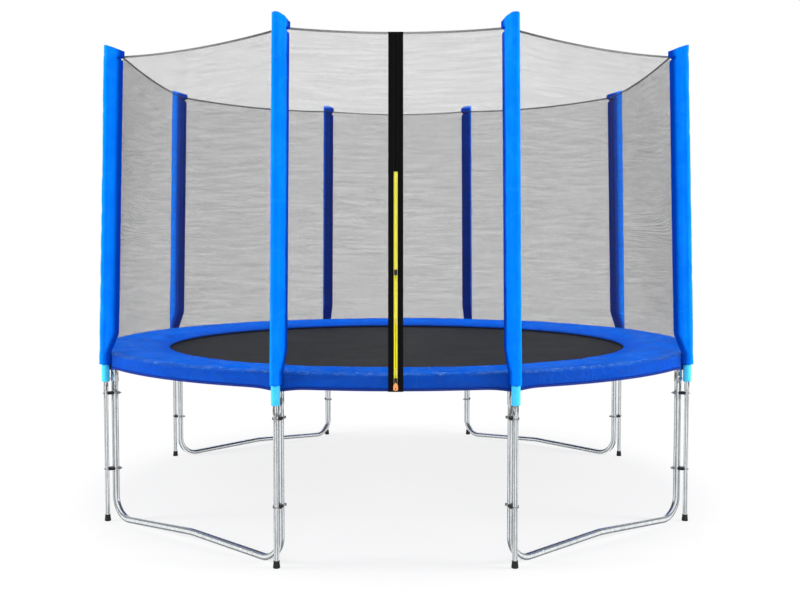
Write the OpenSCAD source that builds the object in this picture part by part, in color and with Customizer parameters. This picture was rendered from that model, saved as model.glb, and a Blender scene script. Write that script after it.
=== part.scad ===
// Round garden trampoline with a safety net.
//
// Millimetres, +Z up. The origin is the centre of the trampoline on the
// ground, and the zip door faces -Y. Angles round the frame are counted from
// the front (-Y), positive towards +X.

/* [Frame ring] */
// Outer diameter of the top ring
frame_d = 3660; // [3300:10:4200]
// Height of the ring tube's centre above the ground
ring_h = 905; // [820:5:1000]
// Outer diameter of the ring tube
ring_tube_d = 38; // [34:1:42]
// Wall of the ring tube
ring_tube_wall = 1.5; // [1.2:0.1:2.5]
// Length of the reduced tube end that slips into the next piece
swage_len = 60; // [40:5:70]

/* [Legs] */
// Angle from the front to the middle of each front leg
leg_middle_angle = 39.5; // [38:0.5:44]
// Angle between the two uprights of one leg
leg_span_angle = 43; // [38:0.5:48]
// Outer diameter of the leg tube
leg_tube_d = 38; // [34:1:42]
// Wall of the leg tube
leg_tube_wall = 1.5; // [1.2:0.1:2.5]
// Bend radius of the leg base at its corners
leg_bend_r = 120; // [90:5:160]
// Rise of the leg base at its middle
leg_arch_rise = 27; // [15:1:45]
// Height at which the uprights slip over the leg base
leg_split_h = 400; // [380:5:480]
// Wall of the welded leg sockets
socket_wall = 2; // [1.5:0.1:3]
// Depth of the leg sockets below the ring's centre
socket_drop = 115; // [100:5:140]

/* [Net poles] */
// Distance from leg upright to net pole, centre to centre
pole_offset = 50; // [48:1:60]
// Height of the pole tops above the ground
pole_h = 2640; // [2400:10:2900]
// How far the net pulls each pole top inwards
pole_lean = 50; // [40:2:90]
// Height at which the poles start to lean
lean_start = 960; // [950:5:1000]
// Outer diameter of the lower pole section
pole_d = 25.4; // [24:0.1:26]
// Outer diameter of the upper pole section
pole_upper_d = 28; // [27.8:0.1:30]
// Wall of both pole sections
pole_wall = 1.1; // [0.9:0.05:1.2]
// Lower end of the upper pole section
pole_joint_h = 748; // [745:1:760]
// Length of the lower section inside the upper one
pole_overlap = 180; // [120:5:185]
// Outer diameter of the foam tube on each pole
foam_d = 44; // [40:1:46]
// Height of the foam tube's lower end
foam_h = 790; // [775:5:830]
// How far the loose cover stands off the foam on its outer side
cover_loose = 8; // [4:1:12]
// Depth of the pole cover from the pole's centre to the net
cover_depth = 69; // [60:1:80]
// Width of the pole cover at the net
cover_back_w = 68; // [56:1:76]
// Wall of the pole cover towards the net
cover_wall = 1.9; // [1.2:0.1:2.2]
// Height of the pole cover's lower end
cover_h = 888; // [884:1:920]
// Slope of the closed top of the pole cover
cover_slope = 16; // [0:1:20]

/* [Pole clamps and feet] */
// Height of the lower clamp
clamp_low_h = 296; // [240:2:340]
// Height of the upper clamp
clamp_high_h = 724; // [660:2:728]
// Diameter of the U-bolt rod
ubolt_d = 5; // [4:0.5:5.5]
// Height of the plastic spacer between pole and leg
spacer_h = 14; // [12:1:36]
// Width of the plastic spacer
spacer_w = 41; // [40:1:48]
// Thickness of the clamp's backing plate at its edge
plate_t = 4; // [3:0.5:6]
// Height of the clamp plates
plate_h = 12; // [10:1:24]
// Outer diameter of the foot cap at the ground
foot_d = 34.6; // [32:0.2:40]
// Height of the foot cap
foot_h = 36; // [28:1:45]
// Thickness of the foot cap under the pole
foot_floor = 6; // [4:0.5:10]

/* [Jumping mat and springs] */
// Diameter of the jumping mat
mat_d = 3190; // [3150:5:3200]
// Thickness of the mat cloth
mat_t = 1.2; // [0.8:0.1:2]
// Width of the webbing sewn under the mat's edge
webbing_w = 46; // [35:1:60]
// Thickness of that webbing
webbing_t = 3; // [2:0.5:4]
// Number of springs, the same number on each ring segment
spring_count = 72; // [56:8:88]
// Outer diameter of the spring coils
spring_d = 22; // [18:1:26]
// Wire diameter of the springs
spring_wire = 3.2; // [2.8:0.1:3.6]
// Wire diameter of the D-shaped mat rings
ring_wire = 4; // [3.4:0.2:4.6]
// Radius of the round side of each D-shaped mat ring
ring_r = 14; // [12:0.5:18]

/* [Safety pad] */
// Diameter of the opening in the pad
pad_opening_d = 2858; // [2700:2:3000]
// Thickness of the pad at its edges
pad_t = 20; // [12:1:30]
// Extra thickness of the pad at its crown
pad_crown = 11; // [4:1:16]
// Radius of the pad's rolled inner edge
pad_edge_r = 9; // [5:0.5:10]
// Height of the skirt that hangs over the ring
skirt_drop = 56; // [50:1:62]
// Thickness of that skirt
skirt_t = 1.5; // [1:0.1:1.6]

/* [Safety net] */
// Thickness of the net
net_t = 1.2; // [1:0.1:2]
// Height of the net's top edge at the poles
net_top_h = 2590; // [2350:10:2600]
// Sag of the net's top edge between two poles
net_sag = 24; // [0:1:80]
// Height up to which each cover's back slants out to the pad's edge
net_knee_h = 1060; // [1040:10:1300]
// Height of the band sewn along the net's top edge
top_hem_h = 12; // [10:1:24]
// Height of the band sewn along the net's lower edge
low_hem_h = 15; // [10:1:18]
// Height of the net's lower edge, below the band
net_low_h = 867; // [865:1:869]

/* [Zip door] */
// Width of the black band that carries the zip
band_w = 72; // [60:1:90]
// Thickness of that band
band_t = 2; // [1.5:0.1:3]
// Width of the yellow zip tape
tape_w = 17.4; // [16:0.2:18]
// Thickness of the zip tape
tape_t = 1.6; // [1.2:0.1:2]
// Length of the zip
zip_len = 1024; // [940:4:1200]
// Diameter of each zip coil
coil_d = 4; // [3.6:0.1:4.2]
// Length of each zip slider
slider_len = 27; // [24:1:32]
// Distance of the lower slider from the band's lower end
lower_slider_at = 38; // [36:1:50]
// Distance of the upper slider from the band's lower end
upper_slider_at = 551; // [521:2:561]
// Width of the pull tab
tab_w = 22; // [14:1:26]
// Length of the pull tab
tab_len = 34; // [24:1:36]
// Thickness of the pull tab
tab_t = 2.6; // [2:0.1:3]

/* [Hidden] */
$fn = 48;
fit = 0.2;           // gap between clamped or slipped pieces
soft_gap = 0.3;      // gap between a soft piece and its neighbour
pin_fit = 0.08;      // radial gap of the pull tabs on their pins
neck = 0.2;          // how much narrower a tube is for 1 mm where its bend begins
neck_len = 6;        // length of the piece that bridges that narrow place
cut = 1;             // how far a cut runs past what it cuts
pole_count = 8;
leg_count = 4;
segments = 8;
tube_fn = 48;

// Ring and sockets
frame_r = (frame_d - ring_tube_d)/2;
segment_angle = 360/segments;
ring_swage_d = ring_tube_d - 2*ring_tube_wall - 2*fit;
ring_swage_angle = swage_len/frame_r*180/PI;
shoulder = 4;
shoulder_angle = shoulder/frame_r*180/PI;
socket_bore_d = leg_tube_d + 2*fit;
socket_d = socket_bore_d + 2*socket_wall;
socket_low_h = ring_h - socket_drop;
socket_roof_h = ring_h - ring_tube_d/2 - 2;
screw_d = 5;
screw_head_d = 10;
screw_head_h = 4;
screw_h = socket_low_h + 16;

// Legs
leg_angles = [leg_middle_angle, 180 - leg_middle_angle, 180 + leg_middle_angle, -leg_middle_angle];
pole_angles = [for (c = leg_angles) for (s = [-1, 1]) c + s*leg_span_angle/2];
leg_plane_r = frame_r*cos(leg_span_angle/2);
leg_half = frame_r*sin(leg_span_angle/2);
leg_bore_d = leg_tube_d - 2*leg_tube_wall;
leg_swage_d = leg_bore_d - 2*fit;
bend_top_h = leg_tube_d/2 + leg_bend_r;
arch_tilt = atan(leg_arch_rise/(leg_half - leg_bend_r));
arch_r = 600;
arch_run = (leg_half - leg_bend_r - (leg_bend_r + arch_r)*sin(arch_tilt))/cos(arch_tilt);
arch_side_h = bend_top_h - leg_bend_r*cos(arch_tilt) + arch_run*sin(arch_tilt);

// Poles
pole_r = frame_r + pole_offset;
lean_r = 600;
lean_angle = atan(pole_lean/(pole_h - lean_start));
pole_bore_d = pole_upper_d - 2*pole_wall;
cover_half = foam_d/2 + soft_gap + cover_wall;
pole_cap_t = 6;
bend_end_h = lean_start + lean_r*sin(lean_angle);
cover_front_r = cover_half + 0.4;
cover_top_t = 2;
cover_top_rise = (pole_upper_d/2 - 4)*tan(cover_slope) + soft_gap;
foam_split_h = cover_h - cover_half*sin(lean_angle) - soft_gap;
function lean_at(h) = lean_r*(1 - cos(lean_angle)) + (h - bend_end_h)*tan(lean_angle);

// Clamps
ubolt_r = pole_d/2 + fit + ubolt_d/2;
ubolt_hole_d = ubolt_d + 2*fit;
nut_h = 4;
nut_d = ubolt_d*1.85;
plate_face = pole_offset + leg_tube_d/2 + plate_t;
ubolt_leg = plate_face + nut_h + 5;

// Mat and springs
mat_top_h = ring_h + 1;
tab_block_w = 20;
tab_block_len = 10;
mat_ring_r = mat_d/2 + tab_block_len/2 + 2;
mat_ring_end_r = mat_ring_r + ring_r;
hook_r = ring_wire/2 + soft_gap + spring_wire/2;
spring_in_r = mat_ring_end_r + 16;
spring_taper = 8;
ring_inner_face = frame_r - ring_tube_d/2;
spring_out_r = ring_inner_face - 18;
spring_hole_d = spring_wire + 4.2;
spring_turn_r = 3;
spring_tail = 4;
ring_bore_r = ring_tube_d/2 - ring_tube_wall;
spring_tail_r = frame_r - sqrt(pow(ring_bore_r, 2) - pow(spring_turn_r + spring_tail, 2)) + soft_gap + spring_wire/2;
spring_step = 360/spring_count;

// Pad
pad_low_h = ring_h + ring_tube_d/2 + 1 + soft_gap;
pad_in_r = pad_opening_d/2;
pad_out_r = pole_r - cover_half - net_t - 4*soft_gap;
pad_half_w = (pad_out_r - pad_in_r)/2;
crown_r = (pad_half_w*pad_half_w + pad_crown*pad_crown)/(2*pad_crown);

// Net
net_step = 2.4;
net_rows = 5;
net_low_r = (pad_out_r + soft_gap)/cos(net_step/2);
net_low_edge_h = net_low_h + low_hem_h;
net_bend_h = pad_low_h + pad_t + 5;
function net_pole_r(h) = pole_r - cover_depth/cos(lean_angle) - lean_at(h) - net_t - 3*soft_gap;
net_top_r = net_pole_r(net_top_h);
knee_t = (net_knee_h - net_bend_h)/(net_top_h - net_bend_h);
knee_pull = net_low_r + (net_top_r - net_low_r)*knee_t - net_pole_r(net_knee_h);
knee_hold = 1.12;
hem_extra_t = 1;
front_pole_angle = leg_middle_angle - leg_span_angle/2;
slot_half = tape_w/2 + 1;

// Zip
band_low_h = net_low_h - 1;
net_front_top_r = (net_top_r + net_t)*cos(front_pole_angle);
net_front_top_h = net_top_h - net_sag;
band_tilt = atan((net_low_r + net_t - net_front_top_r)/(net_front_top_h - net_bend_h));
band_face_r = net_low_r + net_t + soft_gap + (net_bend_h - band_low_h)*tan(band_tilt);
band_len = (net_front_top_h - band_low_h)/cos(band_tilt) + top_hem_h;
zip_low = 22;
slit_half = 1;
coil_x = slit_half + coil_d/2 + 0.2;
coil_y = tape_t + coil_d*0.4;
slider_bore_d = coil_d + 2*soft_gap;
slider_low_y = tape_t + soft_gap;
slider_top_y = coil_y + coil_d/2 + 2.2;
slider_w = 2*coil_x + coil_d + 5;
slider_post = 0.65*slit_half;
slider_back_t = 1.6;
pull_pin_d = 2.4;
pull_barrel_d = pull_pin_d + 2*pin_fit + 2.4;
pull_barrel_w = 7;
ear_t = 1.6;
ear_gap = 0.3;
pull_pin_y = slider_top_y + pull_barrel_d/2 + 0.4;
pull_pin_z = pull_barrel_d/2;
back_pin_y = slider_back_t + soft_gap + pull_barrel_d/2 + 0.4;
back_tab_len = 0.8*tab_len;

function polar(a, r, h) = [r*sin(a), -r*cos(a), h];
function mix(p, q, t) = p + (q - p)*t;

// Moves to the angle a on a circle of radius r: local -Y then points outwards.
module at(a, r, h = 0)
    translate([r*sin(a), -r*cos(a), h])
        rotate([0, 0, a])
            children();

// A rod along local Y, from y0 to y1.
module rod_y(d, y0, y1)
    translate([0, y0, 0])
        rotate([-90, 0, 0])
            cylinder(d = d, h = y1 - y0);

// A rod along local X, centred.
module rod_x(d, len)
    rotate([0, 90, 0])
        cylinder(d = d, h = len, center = true);

// ---- Frame ring ----

module ring_arc(a0, span, d)
    translate([0, 0, ring_h])
        rotate([0, 0, a0 - 90])
            rotate_extrude(angle = span, $fn = 96)
                translate([frame_r, 0])
                    circle(d = d, $fn = tube_fn);

function sockets_of(i) = [for (a = pole_angles) if (floor(((a + 360) % 360)/segment_angle) == i - 1) a];

// One arc of the ring: plain at its start, reduced at its end, with its welded
// leg socket and the holes for its springs.
module ring_segment(i) {
    a0 = (i - 1)*segment_angle;
    color("gainsboro")
    difference() {
        union() {
            ring_arc(a0, segment_angle, ring_tube_d);
            ring_arc(a0 + segment_angle - shoulder_angle/2, ring_swage_angle + shoulder_angle/2, ring_swage_d);
            for (a = sockets_of(i))
                at(a, frame_r, socket_low_h)
                    cylinder(d = socket_d, h = socket_drop - 6);
        }
        ring_arc(a0 - 0.1, segment_angle + 0.1 - shoulder_angle, 2*ring_bore_r);
        ring_arc(a0 + segment_angle - 2*shoulder_angle, ring_swage_angle + 3*shoulder_angle, ring_swage_d - 2*ring_tube_wall);
        for (a = sockets_of(i)) {
            at(a, frame_r, socket_low_h - cut)
                cylinder(d = socket_bore_d, h = socket_roof_h - socket_low_h + cut);
            at(a, frame_r, screw_h)
                rod_y(screw_d + 2*fit, -socket_d, 0);
        }
        for (k = [0:spring_count/segments - 1])
            at(a0 + (k + 0.5)*spring_step, frame_r, ring_h)
                rod_y(spring_hole_d, ring_tube_d/2 - ring_tube_wall - 3, ring_tube_d/2 + cut);
    }
}

// ---- Legs ----

// Bridges the narrow place where a bend meets a straight.
module bend_neck(d)
    cylinder(d = d, h = neck_len, center = true);

// The shape of a leg base as a rod of diameter d. Its ends run past the base's
// by extra.
module leg_base_rod(d, extra) {
    for (m = [0, 1])
        mirror([m, 0, 0]) {
            translate([leg_half, 0, bend_top_h]) {
                bend_neck(d - neck);
                translate([0, 0, cut])
                    cylinder(d = d, h = leg_split_h - bend_top_h - cut + extra);
            }
            translate([leg_half - leg_bend_r, 0, bend_top_h])
                rotate([90, 0, 0])
                    rotate([0, 0, -90 - arch_tilt])
                        rotate_extrude(angle = 90 + arch_tilt, $fn = 96)
                            translate([leg_bend_r, 0])
                                circle(d = d, $fn = tube_fn);
            translate([arch_r*sin(arch_tilt), 0, arch_side_h])
                rotate([0, 90 + arch_tilt, 0]) {
                    bend_neck(d - neck);
                    translate([0, 0, cut])
                        cylinder(d = d, h = arch_run - 2*cut);
                    translate([0, 0, arch_run])
                        bend_neck(d - neck);
                }
        }
    translate([0, 0, arch_side_h - arch_r*cos(arch_tilt)])
        rotate([90, 0, 0])
            rotate([0, 0, 90 - arch_tilt])
                rotate_extrude(angle = 2*arch_tilt, $fn = 96)
                    translate([arch_r, 0])
                        circle(d = d, $fn = tube_fn);
}

// The two holes that the U-bolt's legs pass through in a leg tube.
module clamp_holes(a, h)
    at(a, frame_r, h)
        for (x = [-ubolt_r, ubolt_r])
            translate([x, 0, 0])
                rod_y(ubolt_hole_d, -leg_tube_d, leg_tube_d);

// U-shaped foot of a leg, one bent tube with reduced upper ends.
module leg_base(j) {
    c = leg_angles[j - 1];
    color("silver")
    difference() {
        union() {
            at(c, leg_plane_r)
                leg_base_rod(leg_tube_d, 0);
            for (s = [-1, 1])
                at(c + s*leg_span_angle/2, frame_r, leg_split_h - cut)
                    cylinder(d = leg_swage_d, h = swage_len + cut);
        }
        at(c, leg_plane_r)
            leg_base_rod(leg_bore_d, -shoulder);
        for (s = [-1, 1]) {
            at(c + s*leg_span_angle/2, frame_r, leg_split_h - shoulder - cut)
                cylinder(d = leg_swage_d - 2*leg_tube_wall, h = swage_len + shoulder + 2*cut);
            clamp_holes(c + s*leg_span_angle/2, clamp_low_h);
        }
    }
}

// The two straight tubes of a leg, from its base up into the ring's sockets.
module leg_uprights(j) {
    c = leg_angles[j - 1];
    color("silver")
    for (s = [-1, 1])
        difference() {
            at(c + s*leg_span_angle/2, frame_r, leg_split_h)
                difference() {
                    cylinder(d = leg_tube_d, h = socket_roof_h - leg_split_h);
                    translate([0, 0, -cut])
                        cylinder(d = leg_bore_d, h = ring_h);
                    translate([0, 0, screw_h - leg_split_h])
                        rod_y(screw_d + 2*fit, -leg_tube_d, 0);
                }
            clamp_holes(c + s*leg_span_angle/2, clamp_high_h);
        }
}

// ---- Net poles ----

// Moves to height h on the leaning part of a pole, with +Z along it.
module at_lean(h)
    translate([0, lean_at(h), h])
        rotate([-lean_angle, 0, 0])
            children();

// The shape of an upper pole section as a rod: upright, a slight bend, then
// leaning inwards.
module upper_pole_rod(d, extra) {
    translate([0, 0, pole_joint_h - extra])
        cylinder(d = d, h = lean_start - pole_joint_h + extra - cut);
    translate([0, 0, lean_start])
        bend_neck(d - neck);
    translate([0, lean_r, lean_start])
        rotate([90, 0, -90])
            rotate_extrude(angle = lean_angle, $fn = 96)
                translate([lean_r, 0])
                    circle(d = d, $fn = tube_fn);
    at_lean(bend_end_h) {
        bend_neck(d - neck);
        translate([0, 0, cut])
            cylinder(d = d, h = (pole_h - bend_end_h)/cos(lean_angle) - pole_cap_t - cut + extra);
    }
}

// Lower section standing in its foot cap, and upper section slipped over it.
module net_pole(i) {
    color("lightgray")
    at(pole_angles[i - 1], pole_r) {
        translate([0, 0, foot_floor])
            difference() {
                cylinder(d = pole_d, h = pole_joint_h + pole_overlap - foot_floor);
                translate([0, 0, -cut])
                    cylinder(d = pole_d - 2*pole_wall, h = pole_h);
            }
        difference() {
            upper_pole_rod(pole_upper_d, 0);
            upper_pole_rod(pole_bore_d, cut);
        }
    }
}

// Two lengths of foam on each pole: one below its cover and one inside it.
module foam_tubes() {
    bore = pole_upper_d + 2*soft_gap;
    upper_h = bend_end_h + neck_len;
    color("deepskyblue")
    for (a = pole_angles)
        at(a, pole_r) {
            translate([0, 0, foam_h])
                difference() {
                    cylinder(d = foam_d, h = foam_split_h - foam_h);
                    translate([0, 0, -cut])
                        cylinder(d = bore, h = foam_split_h);
                }
            at_lean(upper_h)
                difference() {
                    cylinder(d = foam_d, h = pole_h - 22 - upper_h);
                    translate([0, 0, -cut])
                        cylinder(d = bore, h = pole_h);
                }
        }
}

// Outline of a pole cover less the wall t: round in front, widening to both
// sides of the foam, and from there straight to the net.
module cover_outline(t) {
    front = cover_half - 1 - t;
    back = cover_back_w/2 - t;
    translate([0, -cover_loose])
        circle(r = cover_front_r - t, $fn = tube_fn);
    polygon([
        [-front, -cover_loose], [front, -cover_loose], [back, foam_d/4],
        [back, cover_depth - t], [-back, cover_depth - t], [-back, foam_d/4]
    ]);
}

// A pole cover as a solid, less the wall t: its top slopes down towards the
// net, and its back slants out to the pad's edge at its foot.
module cover_solid(t) {
    reach = 2*cover_depth;
    difference() {
        at_lean(cover_h)
            translate([0, 0, t > 0 ? -cut : 0])
                linear_extrude(height = pole_h - cover_h + reach/2)
                    cover_outline(t);
        at_lean(pole_h)
            translate([0, 0, cover_top_rise + (t > 0 ? 0 : cover_top_t)])
                rotate([-cover_slope, 0, 0])
                    translate([-reach, -reach, 0])
                        cube([2*reach, 2*reach, reach]);
        translate([reach, 0, t])
            rotate([90, 0, -90])
                linear_extrude(height = 2*reach)
                    polygon([
                        [t - cover_half, 0], [t - cover_half, net_bend_h],
                        [t - (pole_r - net_pole_r(net_knee_h) - net_t - 3*soft_gap), net_knee_h],
                        [-reach, net_knee_h], [-reach, 0]
                    ]);
    }
}

// Sewn cover over foam and pole.
module pole_cover(i) {
    color("dodgerblue")
    at(pole_angles[i - 1], pole_r)
        difference() {
            cover_solid(0);
            cover_solid(cover_wall);
        }
}

// Plug with a low dome that closes the top of each pole.
module pole_caps() {
    color("dimgray")
    for (a = pole_angles)
        at(a, pole_r)
            at_lean(pole_h) translate([0, 0, -pole_cap_t]) {
                cylinder(d = pole_upper_d, h = 2);
                translate([0, 0, 2])
                    cylinder(d1 = pole_upper_d, d2 = pole_upper_d - 8, h = pole_cap_t - 2.5);
                translate([0, 0, -14])
                    cylinder(d = pole_bore_d - 2*fit, h = 14);
            }
}

// Rubber cap under each pole: a flared foot with a collar.
module foot_caps() {
    neck_r = pole_d/2 + 1.8;
    color("black")
    for (a = pole_angles)
        at(a, pole_r)
            rotate_extrude($fn = 96)
                difference() {
                    union() {
                        polygon([
                            [0, 0], [foot_d/2 - 2, 0], [foot_d/2, 2], [foot_d/2, 7], [neck_r + 0.4, foot_h - 8],
                            [neck_r, foot_h - 5], [0, foot_h - 5]
                        ]);
                        translate([0, foot_h - 5])
                            square([neck_r + 0.7, 5]);
                    }
                    translate([0, foot_floor])
                        square([pole_d/2 + fit, foot_h]);
                }
}

// ---- Clamps ----

// Repeats its children at every clamp, in a frame centred on the pole.
module at_clamps()
    for (a = pole_angles)
        for (h = [clamp_low_h, clamp_high_h])
            at(a, pole_r, h)
                children();

module u_bolts() {
    color("lightsteelblue")
    at_clamps() {
        rotate([0, 0, 180])
            rotate_extrude(angle = 180, $fn = 64)
                translate([ubolt_r, 0])
                    circle(d = ubolt_d, $fn = 32);
        for (x = [-ubolt_r, ubolt_r])
            translate([x, 0, 0])
                rod_y(ubolt_d, 0, ubolt_leg);
    }
}

// Block between pole and leg, hollowed to seat on both tubes.
module clamp_spacers() {
    color("black")
    at_clamps()
        difference() {
            translate([-spacer_w/2, pole_d/4, -spacer_h/2])
                cube([spacer_w, pole_offset - pole_d/4 - leg_tube_d/4, spacer_h]);
            cylinder(d = pole_d + 2*fit, h = 2*spacer_h, center = true);
            translate([0, pole_offset, 0])
                cylinder(d = leg_tube_d + 2*fit, h = 2*spacer_h, center = true);
            for (x = [-ubolt_r, ubolt_r])
                translate([x, 0, 0])
                    rod_y(ubolt_hole_d, 0, pole_offset);
        }
}

// Saddle plate behind the leg tube, under the nuts.
module clamp_plates() {
    plate_w = 2*ubolt_r + ubolt_d + 8;
    color("silver")
    at_clamps()
        difference() {
            translate([-plate_w/2, pole_offset + leg_tube_d/4, -plate_h/2])
                cube([plate_w, leg_tube_d/4 + plate_t, plate_h]);
            translate([0, pole_offset, 0])
                cylinder(d = leg_tube_d + 2*fit, h = 40, center = true);
            for (x = [-ubolt_r, ubolt_r])
                translate([x, 0, 0])
                    rod_y(ubolt_hole_d, pole_offset, plate_face + cut);
        }
}

module clamp_nuts() {
    color("gray")
    at_clamps()
        for (x = [-ubolt_r, ubolt_r])
            translate([x, plate_face, 0])
                rotate([-90, 0, 0])
                    difference() {
                        cylinder(d = nut_d, h = nut_h, $fn = 6);
                        translate([0, 0, -cut])
                            cylinder(d = ubolt_d + fit, h = nut_h + 2*cut);
                    }
}

// Self-tapping screws that hold the uprights in the ring's sockets.
module socket_screws() {
    color("gray")
    for (a = pole_angles)
        at(a, frame_r, screw_h) {
            rod_y(screw_d, -socket_d/2 - 1, -leg_tube_d/2 + leg_tube_wall + 5);
            translate([0, -socket_d/2 - screw_head_h, 0])
                rotate([-90, 0, 0])
                    cylinder(d1 = 0.7*screw_head_d, d2 = screw_head_d, h = screw_head_h);
        }
}

// ---- Jumping mat and springs ----

// Repeats its children at every spring, in a frame at radius r in the spring plane.
module at_springs(r)
    for (k = [0:spring_count - 1])
        at((k + 0.5)*spring_step, r, ring_h)
            children();

// Extension springs: a hollow coil body, a hook round the D-ring and a tail
// that turns down behind the ring tube's wall. Local +Y points outwards.
module springs() {
    half = spring_d/2;
    bore = half - 0.8*spring_wire;
    coil_start = spring_in_r + spring_taper;
    coil_end = spring_out_r - spring_taper;
    tail_start = spring_tail_r - spring_turn_r;
    color("silver")
    at_springs(0)
        rotate([0, 0, 180]) {
            rotate([-90, 0, 0])
                rotate_extrude()
                    polygon([
                        [0, spring_in_r], [0.55*half + hook_r, spring_in_r], [half, coil_start],
                        [half, coil_end], [0.4*half, spring_out_r], [spring_wire/2, spring_out_r],
                        [spring_wire/2, tail_start], [0, tail_start],
                        [0, coil_end], [bore, coil_end], [bore, coil_start], [0, coil_start]
                    ]);
            translate([0, 0, hook_r])
                rod_y(spring_wire, mat_ring_end_r, spring_in_r + 1);
            translate([0, mat_ring_end_r, 0])
                rotate([90, 0, 90])
                    rotate([0, 0, 90])
                        rotate_extrude(angle = 180, $fn = 48)
                            translate([hook_r, 0])
                                circle(d = spring_wire, $fn = 24);
            translate([0, tail_start, -spring_turn_r])
                rotate([90, 0, 90])
                    rotate_extrude(angle = 90, $fn = 48)
                        translate([spring_turn_r, 0])
                            circle(d = spring_wire, $fn = 24);
            translate([0, spring_tail_r, -spring_turn_r - spring_tail])
                cylinder(d = spring_wire, h = spring_tail, $fn = 24);
        }
}

module jumping_mat() {
    color([0.08, 0.09, 0.1])
    translate([0, 0, mat_top_h - mat_t])
        cylinder(d = mat_d, h = mat_t, $fn = 144);
}

// Band sewn under the mat's edge, with a loop for each mat ring.
module mat_webbing() {
    band_h = mat_top_h - mat_t - webbing_t;
    loop_h = ring_wire + 2*neck + 3;
    color([0.1, 0.1, 0.11])
    difference() {
        union() {
            translate([0, 0, band_h])
                difference() {
                    cylinder(d = mat_d + 4, h = webbing_t, $fn = 144);
                    translate([0, 0, -cut])
                        cylinder(d = mat_d - 2*webbing_w, h = webbing_t + 2*cut, $fn = 144);
                }
            at_springs(mat_d/2 + 1)
                translate([-tab_block_w/2, -tab_block_len, -loop_h/2])
                    cube([tab_block_w, tab_block_len, loop_h]);
        }
        translate([0, 0, mat_top_h - mat_t])
            cylinder(d = mat_d + 2*soft_gap, h = 10, $fn = 144);
        at_springs(mat_ring_r)
            rod_x(ring_wire + 2*neck + 2*fit, 2*tab_block_w);
    }
}

// D-shaped wire rings that join the mat's loops to the springs: a straight bar
// in the loop and a half circle that the spring hooks round.
module mat_rings() {
    bar_d = ring_wire + 2*neck;
    color("silver")
    at_springs(mat_ring_r) {
        rod_x(bar_d, 2*ring_r + bar_d);
        rotate([0, 0, 180])
            rotate_extrude(angle = 180, $fn = 48)
                translate([ring_r, 0])
                    circle(d = ring_wire, $fn = 24);
    }
}

// ---- Safety pad ----

// Cross-section of the pad: flat below, crowned above, a rolled inner edge and
// a skirt down the outside of the ring.
module pad_outline() {
    intersection() {
        union() {
            translate([pad_in_r + pad_edge_r, pad_low_h])
                square([pad_out_r - pad_in_r - pad_edge_r, 2*pad_t]);
            translate([pad_in_r + pad_edge_r, pad_low_h + pad_edge_r])
                circle(r = pad_edge_r, $fn = 32);
        }
        translate([pad_in_r + pad_half_w, pad_low_h + pad_t + pad_crown - crown_r])
            circle(r = crown_r, $fn = 180);
    }
    translate([pad_out_r - skirt_t, pad_low_h - skirt_drop])
        square([skirt_t, skirt_drop + 4]);
}

module safety_pad() {
    color("royalblue")
    rotate_extrude($fn = 144)
        pad_outline();
}

// ---- Safety net ----

// A sheet between two curved faces, each a grid of points [row][column].
module sheet(inner, outer) {
    rows = len(inner) - 1;
    columns = len(inner[0]) - 1;
    count = (rows + 1)*(columns + 1);
    points = concat([for (r = inner) for (p = r) p], [for (r = outer) for (p = r) p]);
    function at_grid(r, c, s) = r*(columns + 1) + c + s*count;
    faces = concat(
        [for (r = [0:rows - 1]) for (c = [0:columns - 1]) for (f = [
            [at_grid(r, c, 0), at_grid(r, c + 1, 0), at_grid(r + 1, c + 1, 0)],
            [at_grid(r, c, 0), at_grid(r + 1, c + 1, 0), at_grid(r + 1, c, 0)],
            [at_grid(r, c, 1), at_grid(r + 1, c + 1, 1), at_grid(r, c + 1, 1)],
            [at_grid(r, c, 1), at_grid(r + 1, c, 1), at_grid(r + 1, c + 1, 1)]
        ]) f],
        [for (c = [0:columns - 1]) for (f = [
            [at_grid(0, c, 0), at_grid(0, c + 1, 1), at_grid(0, c + 1, 0)],
            [at_grid(0, c, 0), at_grid(0, c, 1), at_grid(0, c + 1, 1)],
            [at_grid(rows, c, 0), at_grid(rows, c + 1, 0), at_grid(rows, c + 1, 1)],
            [at_grid(rows, c, 0), at_grid(rows, c + 1, 1), at_grid(rows, c, 1)]
        ]) f],
        [for (r = [0:rows - 1]) for (f = [
            [at_grid(r, 0, 0), at_grid(r + 1, 0, 0), at_grid(r + 1, 0, 1)],
            [at_grid(r, 0, 0), at_grid(r + 1, 0, 1), at_grid(r, 0, 1)],
            [at_grid(r, columns, 0), at_grid(r + 1, columns, 1), at_grid(r + 1, columns, 0)],
            [at_grid(r, columns, 0), at_grid(r, columns, 1), at_grid(r + 1, columns, 1)]
        ]) f]
    );
    polyhedron(points = points, faces = faces, convexity = 4);
}

// Point of the net between poles at angles a0 and a1. u runs from the first
// pole to the second. t runs from the round edge of the pad, at 0, to the
// straight, sagging top edge, at 1. The covers' backs pull it inwards, most at
// the knee and over their own width, and least between the poles. out moves
// the point outwards.
function net_point(a0, a1, u, t, out) = mix(
    polar(mix(a0, a1, u), net_low_r + out, net_bend_h),
    mix(polar(a0, net_top_r + out, net_top_h), polar(a1, net_top_r + out, net_top_h), u)
        - [0, 0, 4*net_sag*u*(1 - u)],
    t
) - polar(
    mix(a0, a1, u),
    knee_pull*min(1, knee_hold*abs(2*u - 1))*(t < knee_t ? t/knee_t : (1 - t)/(1 - knee_t)),
    0
);

// Share of the height at row r of the net, with row 2 at the knee.
function row_share(r) = r < 3 ? (r - 1)*knee_t : mix(knee_t, 1, (r - 2)/(net_rows - 2));

// Point in row r of the net: the lowest row hangs straight down past the pad.
function net_row_point(a0, a1, u, r, out) = r == 0
    ? polar(mix(a0, a1, u), net_low_r + out, net_low_edge_h)
    : net_point(a0, a1, u, row_share(r), out);

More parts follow.
